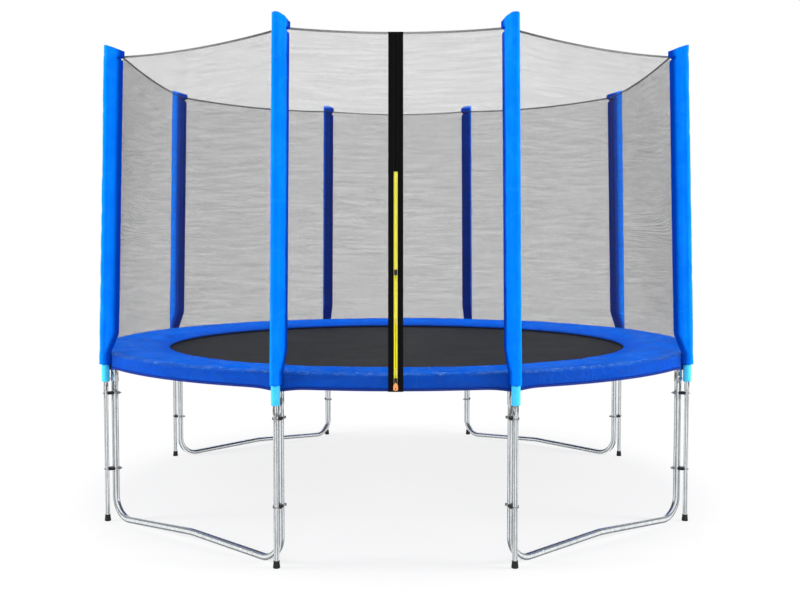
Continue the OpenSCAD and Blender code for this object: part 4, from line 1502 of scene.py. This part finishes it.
@dataclass(frozen=True)
class NetWall:
    """Eight net panels between the poles, the hem over them and the hem below."""

    shop: Shop
    faces: tuple[float, float] = (0.00054, 0.00066)
    columns: int = 48
    rows: int = 56
    fold: float = 0.006
    fold_cells: tuple[int, int] = (11, 2)
    gap: float = 0.0003
    slot_half: float = 0.0097
    door: int = 8
    cloth_r: float = 1.79
    hem_r: float = 1.75
    hem_h: float = 0.012
    low_hem: tuple[float, float] = (0.8672, 0.8815)
    hem_out: float = 0.0011
    hem_t: float = 0.0020
    hem_steps: int = 720

    @property
    def tall(self) -> float:
        """Height from the pad's edge to the top of the net."""
        return PLAN.net_top_h - PLAN.net_bend_h

    def shares(self) -> Array:
        """Heights of the rows as net_point's t.

        Returns:
            Shares below the pad's edge, up to the knee, and on to the top.
        """
        low = (PLAN.net_low_edge_h - PLAN.net_bend_h) / self.tall
        knee = np.linspace(0, PLAN.knee_share, 9)
        above = PLAN.knee_share + (1 - PLAN.knee_share) * np.linspace(0, 1, self.rows - 12)[1:]
        return np.concatenate([np.linspace(low, 0, 5)[:-1], knee, above])

    def cloth(self, cut: Cut, index: int, u0: float, u1: float) -> None:
        """Adds the net of one panel from u0 to u1: a shell of two faces with its edges closed.

        Both faces are net_point at their distance out, moved inwards together by
        soft upright folds that fade out at the poles, the pad and the top.

        Args:
            cut: the mesh that it is added to.
            index: the panel, 1 to 8.
            u0: where it starts, as a share of the span.
            u1: where it ends.
        """
        ends = PLAN.panel(index)
        t, u = np.meshgrid(self.shares(), np.linspace(u0, u1, self.columns), indexing="ij")
        angle = ends[0] + (ends[1] - ends[0]) * u
        fade = np.sin(math.pi * u) * ease(t, 0, 0.12) * (1 - ease(t, 0.86, 1.0))
        depth = (ripple(u, t * 0.9, self.fold_cells, 30 + index) * 0.5 + 0.5) * self.fold * fade
        skins = [net_point(ends, u, t, out) - polar(angle, depth, 0.0) for out in self.faces]
        inner, outer = skins
        loop = np.concatenate([outer, inner[:, ::-1]], axis=1)
        across = np.radians(angle) * self.cloth_r
        v = PLAN.net_bend_h + t * self.tall
        uv = np.stack([across, v], axis=-1)
        uv = np.concatenate([uv, uv[:, ::-1], uv[:, :1]], axis=1)
        cut.grid(loop, uv, around=True)
        for row, flip in ((0, True), (-1, False)):
            edge = np.stack([outer[row], inner[row]])
            cut.grid(edge, np.stack([uv[row, : self.columns]] * 2), flip=not flip)

    def hem(self) -> bpy.types.Object:
        """The band along the top edge, an eased section carried along each span.

        Returns:
            The band as one piece.
        """
        s = np.array([0.0, 0.08, 0.5, 0.92, 1.0, 0.92, 0.5, 0.08])
        out = np.array([0.1, 1.15, 1.2, 1.15, 0.1, -0.95, -1.0, -0.95]) * 1e-3
        t = 1 + (self.gap + s * self.hem_h) / self.tall
        cut = Cut("net_top_hem")
        for index in PLAN.numbers:
            ends = PLAN.panel(index)
            edge = self.edge(ends)
            u = np.linspace(edge, 1 - edge, 28)
            points = net_point(ends, u[:, None], t[None, :], out[None, :])
            run = np.radians(ends[0] + (ends[1] - ends[0]) * u) * self.hem_r
            v = (np.append(s, s[0]) - 0.5) * self.hem_h
            uv = np.stack(np.meshgrid(v, run)[::-1], axis=-1)
            cut.tube(points, uv)
        return cut.build(self.shop["hem"])

    def edge(self, ends: tuple[float, float]) -> float:
        """The gap beside each pole as a share of the span."""
        return self.gap / (PLAN.net_low_r * math.radians(ends[1] - ends[0]))

    def build(self) -> None:
        """Makes the panels and hems."""
        angle = np.arange(self.hem_steps) * 360.0 / self.hem_steps
        low, high = self.low_hem
        up = np.broadcast_to(np.array([0.0, 0.0, 1.0]), (self.hem_steps, 3))
        cut = Cut("net_low_hem")
        path = polar(angle, PLAN.net_low_r + self.hem_out, (low + high) / 2 - skirt_dip(angle))
        ribbon(cut, path, up, high - low, self.hem_t, closed=True)
        low_hem = place_piece(cut.build(self.shop["edging"]), "frame", "webbing", "net_hems")
        top_hem = place_piece(self.hem(), "frame", "webbing", "net_hems")
        for index in PLAN.numbers:
            ends = PLAN.panel(index)
            edge = self.edge(ends)
            cut = Cut(f"net_{index}")
            if index < self.door:
                self.cloth(cut, index, edge, 1 - edge)
            else:
                span = PLAN.net_top_r * math.radians(ends[1] - ends[0])
                self.cloth(cut, index, edge, 0.5 - self.slot_half / span)
                self.cloth(cut, index, 0.5 + self.slot_half / span, 1 - edge)
            piece = cut.build(self.shop["net"], crease=80, weld=1e-6)
            place_piece(piece, "frame", "net", f"net_panel_{index}")


@dataclass(frozen=True)
class PoleSleeves:
    """The sewn cover over each pole and the two lengths of foam that it holds."""

    shop: Shop
    front_y: float = -0.008
    front_r: float = 0.0244
    back_half: float = 0.0338
    depth: float = 0.0688
    corner: float = 0.005
    swell_y: float = 0.016
    low_back: float = 0.0238
    knee_h: float = 1.060
    knee_back: float = 0.0714
    slope: float = 16.0
    lid_rise: float = 0.0050
    wall: float = 0.0011
    rows: int = 132
    pocket: float = 0.048
    flare: float = 0.006
    notch: float = 0.009
    corner_run: float = 0.1164
    least_room: float = 0.0006
    side_room: float = 0.0055
    front_room: float = 0.0045
    swell: float = 0.0006
    crease_cells: tuple[int, int] = (8, 13)
    swell_cells: tuple[int, int] = (5, 9)
    gather_cells: tuple[int, int] = (22, 1)
    seam_half: float = 0.005
    gather_half: float = 0.03
    notch_half: float = 0.008
    lid_y: float = 0.014
    lid_fine: float = 0.08
    lid_shares: tuple[float, ...] = (0.988, 0.94, 0.8, 0.55, 0.28, 0.08)
    lid_rises: tuple[float, ...] = (0.0007, 0.0013, 0.0018, 0.0022, 0.0024, 0.0025)
    lid_drop: float = 0.0015
    foam_bore: float = 0.0146
    foam_edge: float = 0.0025
    foam_sides: int = 40
    slit_depth: float = 0.0012
    slit_angle: float = 0.12
    foam_low: tuple[float, float] = (0.790, 0.8866)
    foam_high: tuple[float, float] = (0.984, 2.618)

    def section(self, z: Array, wall: float, index: int) -> tuple[Array, Array]:
        """One face of the cover: sections at heights z along the leaning axis.

        Each section starts at the middle of the back and runs over the left side,
        the round front and the right side back to it. Its half outline is a
        quarter circle, a side that widens over its first part and then runs
        straight, a rounded corner and half the back. The sides are drawn in by
        long creases wherever the foam leaves room behind them. Near the top a
        narrow notch draws the back in under a flared pocket.

        Args:
            z: heights along the axis from the foot, the last at the lid's edge.
            wall: distance inwards from the outer face.
            index: the pole, which seeds the creases.

        Returns:
            Points in the pole's leaning frame, rows x columns x 3, and the
            signed distance across for each column and the closing one.
        """
        height = PLAN.cover_low_h + z
        knee = [PLAN.net_bend_h, self.knee_h, self.knee_h + 0.001]
        cut_back = np.interp(height, knee, [self.low_back, self.knee_back, 1.0])
        back = np.minimum(self.depth, cut_back - PLAN.lean_at(height))[:, None] - wall
        radius = self.front_r - wall
        q = np.linspace(-math.pi / 2, 0, 9)[None, :]
        arc = radius * np.cos(q) + 0 * back, self.front_y + radius * np.sin(q) + 0 * back
        wide = self.back_half - wall + 0 * back
        c = self.corner
        s = np.linspace(0, 1, 15)[None, 1:]
        side_y = self.front_y + (back - c - self.front_y) * s
        side = radius + (wide - radius) * ease(side_y, self.front_y - 0.006, self.swell_y), side_y
        q = np.linspace(0, math.pi / 2, 5)[None, 1:]
        bend = wide - c + c * np.cos(q), back - c + c * np.sin(q)
        s = np.linspace(1, 0, 6)[None, 1:]
        flat = (wide - c) * s, back + 0 * s
        x = np.concatenate([p[0] for p in (arc, side, bend, flat)], axis=1)
        y = np.concatenate([p[1] for p in (arc, side, bend, flat)], axis=1)
        run = np.concatenate([0 * x[:, :1], np.cumsum(np.hypot(np.diff(x), np.diff(y)), axis=1)], axis=1)
        run = run - run[:, 24:25] + self.corner_run
        x = np.concatenate([-x[:, ::-1], x[:, 1:-1]], axis=1)
        y = np.concatenate([y[:, ::-1], y[:, 1:-1]], axis=1)
        v = np.concatenate([-run[:, ::-1], run[:, 1:]], axis=1)
        dx, dy = np.gradient(x, axis=1), np.gradient(y, axis=1)
        size = np.hypot(dx, dy)
        beside = ease(y, 0.022, 0.034) * (1 - ease(y, back - 0.012, back - 0.003))
        room = self.least_room + self.side_room * beside + self.front_room * ease(-y, 0.018, 0.029)
        tall = z[:, None] / z[-1]
        around = np.arange(x.shape[1])[None, :] / x.shape[1]
        below = (z[-1] - z)[:, None]
        from_seam = below - self.pocket
        creases = creased(around + tall * 0.5, tall, self.crease_cells, 50 + 7 * index, 3)
        swell = ripple(around, tall, self.swell_cells, 90 + index) * self.swell
        at_seam = np.exp(-((from_seam / self.seam_half) ** 2))
        gather = creased(around, tall * 0, self.gather_cells, 70 + index, 1)
        gather = gather * np.exp(-((from_seam / self.gather_half) ** 2))
        draw = room * np.clip(creases + gather * 0.9 + at_seam * 0.4 - 0.2, 0, 1) - swell
        x = x - draw * dy / size
        y = y + draw * dx / size
        flare = self.flare * (1 - ease(below, self.pocket - 0.020, self.pocket - 0.006))
        notch = self.notch * np.exp(-((from_seam / self.notch_half) ** 2))
        behind = ease(y, 0.022, 0.060)
        y = y + (flare - notch) * behind
        x = x * (1 + (flare * 0.35 - notch * 1.2) * behind / self.back_half)
        lid = math.tan(math.radians(self.slope)) * ease(z, z[-1] - 0.2, z[-1])[:, None]
        return np.stack([x, y, z[:, None] - lid * y], axis=-1), v

    def cover(self, index: int) -> bpy.types.Object:
        """One cover: an outer and an inner face, joined at the foot and closed by a lid.

        The lid carries on from the highest section: its rings shrink towards a
        point above the pole and rise by a low dome.

        Args:
            index: the pole, 1 to 8.

        Returns:
            The cover.
        """
        top = (PLAN.pole_h - PLAN.cover_low_h) / math.cos(math.radians(PLAN.lean_angle)) + self.lid_rise
        skins, uvs = [], []
        for wall in (self.wall, 0.0):
            end = top - wall
            low = np.linspace(0, end - self.lid_fine, self.rows - 20)
            z = np.concatenate([low, np.linspace(end - self.lid_fine + 0.004, end, 20)])
            face, v = self.section(z, wall, index)
            centre = np.array([0.0, self.lid_y, end - self.lid_y * math.tan(math.radians(self.slope))])
            shrink = np.array(self.lid_shares)[:, None, None]
            rise = np.array(self.lid_rises)[:, None, None] - self.lid_drop
            lid = centre + (face[-1] - centre) * shrink + rise * np.array([0, 0, 1.0])
            rings = len(self.lid_shares)
            u = np.concatenate([z, np.full(rings, z[-1] + 0.01)])
            v = np.concatenate([v, np.repeat(v[-1:] * 0.9, rings, axis=0)])
            skins.append(np.concatenate([face, lid]))
            uvs.append(np.stack([np.repeat(u[:, None], v.shape[1], 1), v], axis=-1))
        skin = np.concatenate([skins[0][::-1], skins[1]])
        uv = np.concatenate([uvs[0][::-1], uvs[1]])
        placed = on_pole(skin, PLAN.poles[index - 1])
        return Cut(f"cover_{index}").tube(placed, uv).build(self.shop["blue_cover"], crease=60)

    def foam(self, index: int) -> bpy.types.Object:
        """The pole's two lengths of foam: an upright one and a leaning one.

        Each is a tube whose section is a rounded rectangle between bore and skin,
        turned about the axis, with a slit line pressed slit_depth into the skin.

        Args:
            index: the pole, 1 to 8.

        Returns:
            Both lengths as one piece.
        """
        cut = Cut(f"foam_{index}")
        q = np.arange(self.foam_sides) * 2 * math.pi / self.foam_sides
        slit = np.exp(-(((q - math.pi) / self.slit_angle) ** 2)) * self.slit_depth
        for (low, high), leaning in ((self.foam_low, False), (self.foam_high, True)):
            c = self.foam_edge
            steps = np.linspace(low + c, high - c, 10)
            bore, skin = self.foam_bore, PLAN.foam_r
            r = np.concatenate([[bore, bore, bore + c, skin - c], 0 * steps + skin, [skin - c, bore + c]])
            h = np.concatenate([[high - c, low + c], [low, low], steps, [high, high]])
            outer = (r > skin - c / 2)[:, None]
            rr = r[:, None] - slit[None, :] * outer
            tube = np.stack([rr * np.sin(q), -rr * np.cos(q), h[:, None] + 0 * rr], axis=-1)
            if leaning:
                tube = on_pole(tube - [0, 0, PLAN.cover_low_h], PLAN.poles[index - 1])
            else:
                tube = at_angle(tube, PLAN.poles[index - 1], PLAN.pole_r)
            cut.grid(tube, around=True, along=True)
        return cut.build(self.shop["foam"], crease=60)

    def build(self) -> None:
        """Makes the eight covers and their foam."""
        for index in PLAN.numbers:
            cover = place_piece(self.cover(index), "frame", "blue_cover", f"pole_cover_{index}")
            foam = place_piece(self.foam(index), "frame", "foam", "foam_tubes")


@dataclass(frozen=True)
class ZipDoor:
    """The black band down the front of the net and the yellow zip in its slot."""

    shop: Shop
    band_w: float = 0.072
    band_t: float = 0.0019
    slot_half: float = 0.0090
    low: float = 0.022
    zip_len: float = 1.024
    gap: float = 0.0003
    tape_half: float = 0.0087
    slit_half: float = 0.001
    tape_t: float = 0.0015
    coil_x: float = 0.0032
    coil_y: float = 0.0032
    helix_r: float = 0.00142
    wire_r: float = 0.00052
    pitch: float = 0.0026

    @property
    def length(self) -> float:
        """Length of the band from below the net's edge to the top of the hem."""
        front = PLAN.net_top_h - PLAN.net_sag - PLAN.band_low_h
        return front / math.cos(math.radians(PLAN.band_tilt)) + 0.012

    def placed(self, points: Array) -> Array:
        """Moves band points (x aside, -y out, z up the band) to the front of the net."""
        return tilted(points, PLAN.band_tilt) + np.array([0.0, -PLAN.band_face_r, PLAN.band_low_h])

    def strip(self, cut: Cut, x: tuple[float, float], z: tuple[float, float], thick: float) -> None:
        """Adds a flat strip of the band from x[0] to x[1] and z[0] to z[1], its back at y = 0.

        Its outer face rises and falls by 0.15 mm of smooth noise along it.

        Args:
            cut: the mesh that it is added to.
            x: its two sides.
            z: its two ends.
            thick: its thickness.
        """
        count = max(4, int((z[1] - z[0]) / 0.012))
        run = np.linspace(*z, count)
        wave = (ripple(run * 0.7, 0 * run, (23, 1), 41) * 0.5 + 0.5) * 0.00015
        path = np.stack([0 * run + (x[0] + x[1]) / 2, -thick / 2 - wave, run], axis=1)
        side = np.tile([[-1.0, 0.0, 0.0]], (count, 1))
        ribbon(cut, self.placed(path), side, x[1] - x[0], thick)

    def build(self) -> None:
        """Makes the band, the tapes and their coils."""
        cut = Cut("door_band")
        half, slot = self.band_w / 2, self.slot_half
        high, thin = self.low + self.zip_len, self.band_t - self.gap
        self.strip(cut, (-half, -slot), (0.0, self.length), self.band_t)
        self.strip(cut, (slot, half), (0.0, self.length), self.band_t)
        self.strip(cut, (-slot, slot), (0.0, self.low), thin)
        self.strip(cut, (-slot, slot), (high, self.length), thin)
        place_piece(cut.build(self.shop["band"]), "frame", "webbing", "zip_band")
        cut = Cut("door_tapes")
        for s in (-1, 1):
            edges = sorted((s * self.slit_half, s * self.tape_half))
            self.strip(cut, tuple(edges), (self.low + self.gap, high - self.gap), self.tape_t)
        place_piece(cut.build(self.shop["yellow_tape"]), "frame", "yellow_tape", "zip_tape")
        for s, name in ((-1, "left"), (1, "right")):
            place_piece(self.coil(s, name), "frame", "yellow_tape", "zip_tape")

    def coil(self, s: int, name: str) -> bpy.types.Object:
        """One coil of teeth: a wire wound as a helix along the tape's edge.

        Args:
            s: -1 for the left, 1 for the right.
            name: its word.

        Returns:
            The coil.
        """
        per_turn = 7
        count = int((self.zip_len - 0.002) / self.pitch) * per_turn
        k = np.arange(count) / per_turn
        q = 2 * math.pi * k * s
        x, y = self.helix_r * np.cos(q), self.helix_r * np.sin(q)
        run = self.low + 0.001 + k * self.pitch
        path = np.stack([s * self.coil_x + x, y - self.coil_y, run], axis=1)
        guide = np.stack([np.cos(q), np.sin(q), 0 * q], axis=1)
        skin = self.placed(swept(path, guide, self.wire_r, 4))
        return Cut(f"zip_coil_{name}").tube(skin).build(self.shop["yellow_tape"], crease=100)


# ---------------------------------------------------------------- studio


@dataclass(frozen=True)
class Lamp:
    """One soft square lamp: where it stands, its size and power, facing the trampoline."""

    name: str
    place: tuple[float, float, float]
    size: float
    power: float
    aim: tuple[float, float, float] = (0.0, 0.0, 1.3)

    def build(self) -> None:
        """Sets the lamp up."""
        light = bpy.data.lights.new(self.name, "AREA")
        light.shape, light.size, light.energy = "SQUARE", self.size, self.power
        lamp = bpy.data.objects.new(self.name, light)
        lamp.visible_glossy = False
        lamp.location = self.place
        lamp.rotation_euler = (Vector(self.aim) - Vector(self.place)).to_track_quat("-Z", "Y").to_euler()
        bpy.context.scene.collection.objects.link(lamp)


@dataclass(frozen=True)
class Studio:
    """Pale floor, even white surround, soft lamps and the camera."""

    eye: tuple[float, float, float] = (0.0205, -6.806, 1.578)
    pitch: float = 3.21
    lens: float = 47.7
    floor_size: float = 60.0
    floor_h: float = -0.0005
    floor_fade: tuple[float, float] = (2.6, 5.0)
    floor_glow: float = 0.76
    floor_grey: tuple[float, ...] = (0.20, 0.20, 0.20, 1.0)
    ambient: float = 0.50
    flags: tuple[tuple[float, float], ...] = ((0.36, 0.52), (0.93, 0.85))
    flag_depth: float = 0.80
    lamps: tuple[Lamp, ...] = (
        Lamp("left", (-8.6, -2.4, 3.0), 2.6, 720.0),
        Lamp("right", (8.6, -2.4, 3.0), 2.6, 720.0),
        Lamp("front", (0.0, -10.0, 4.0), 3.0, 210.0),
        Lamp("over", (0.0, 0.5, 8.0), 5.0, 410.0),
    )

    def surround(self) -> None:
        """White behind, softer as a source of light, with dark flags at both sides in reflections."""
        b = SkyBench("surround")
        seen, gloss = b.light_path()
        way = b.add("ShaderNodeTexCoord", {}, {}).outputs["Generated"]
        aside = Signal(b, b.add("ShaderNodeSeparateXYZ", {}, {0: way}).outputs[0]).abs()
        flag = aside.step(*self.flags[0]) * aside.step(*self.flags[1])
        shine = gloss * (1 - flag * self.flag_depth)
        strength = seen + shine + (1 - seen - gloss) * self.ambient
        sky = b.add("ShaderNodeBackground", {}, {"Color": WHITE, "Strength": strength})
        b.plug(b.output.inputs[0], sky.outputs[0])

    def floor(self) -> None:
        """A pale floor that keeps the shadow and fades into the white surround."""
        ends = [-self.floor_size / 2, self.floor_size / 2]
        corners = np.stack([*np.meshgrid(ends, ends), np.full((2, 2), self.floor_h)], axis=-1)
        b = Bench("floor")
        at, x, y, _ = b.place()
        far = (x * x + y * y).math("SQRT").step(*self.floor_fade)
        grain = b.noise(at, 3.0, 4.0)
        b.dress(Base_Color=b.mix(grain * 0.5, shade(236, 236, 237), shade(230, 230, 231)), Roughness=0.8)
        seen, _ = b.light_path()
        dull = b.add("ShaderNodeBsdfDiffuse", {}, {"Color": self.floor_grey})
        glow = b.add("ShaderNodeEmission", {}, {"Color": WHITE, "Strength": self.floor_glow})
        lit = b.add("ShaderNodeAddShader", {}, {0: dull.outputs[0], 1: glow.outputs[0]})
        near = b.add("ShaderNodeMixShader", {}, {0: seen, 1: b.shader.outputs[0], 2: lit.outputs[0]})
        white = b.add("ShaderNodeEmission", {}, {"Color": WHITE, "Strength": 1.0})
        both = b.add("ShaderNodeMixShader", {}, {0: far * seen, 1: near.outputs[0], 2: white.outputs[0]})
        b.plug(b.output.inputs[0], both.outputs[0])
        ground = Cut("floor").grid(corners).build(b.material)
        ground.visible_glossy = False

    def camera(self) -> None:
        """The camera at the front, a little above the net's middle."""
        lens = bpy.data.cameras.new("camera")
        lens.lens, lens.sensor_width, lens.sensor_fit = self.lens, 36.0, "HORIZONTAL"
        camera = bpy.data.objects.new("camera", lens)
        camera.location = self.eye
        camera.rotation_euler = (math.radians(90 - self.pitch), 0.0, 0.0)
        bpy.context.scene.collection.objects.link(camera)
        bpy.context.scene.camera = camera

    def build(self) -> None:
        """Sets up the studio."""
        bpy.context.scene.view_settings.view_transform = "Standard"
        self.camera()
        self.surround()
        self.floor()
        for lamp in self.lamps:
            lamp.build()


# ---------------------------------------------------------------- all together


def main() -> None:
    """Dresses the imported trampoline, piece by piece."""
    logging.basicConfig(level=logging.INFO, format="%(name)s %(message)s", stream=sys.stdout)
    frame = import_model()
    Studio().build()
    shop = Shop.stocked()
    Hardware(frame["nodes"], shop).build()
    for made in (SpringSet, JumpingMat, SafetyPad, NetWall, PoleSleeves, ZipDoor):
        LOG.info("%s", made.__name__)
        made(shop).build()


if __name__ == "__main__":
    main()
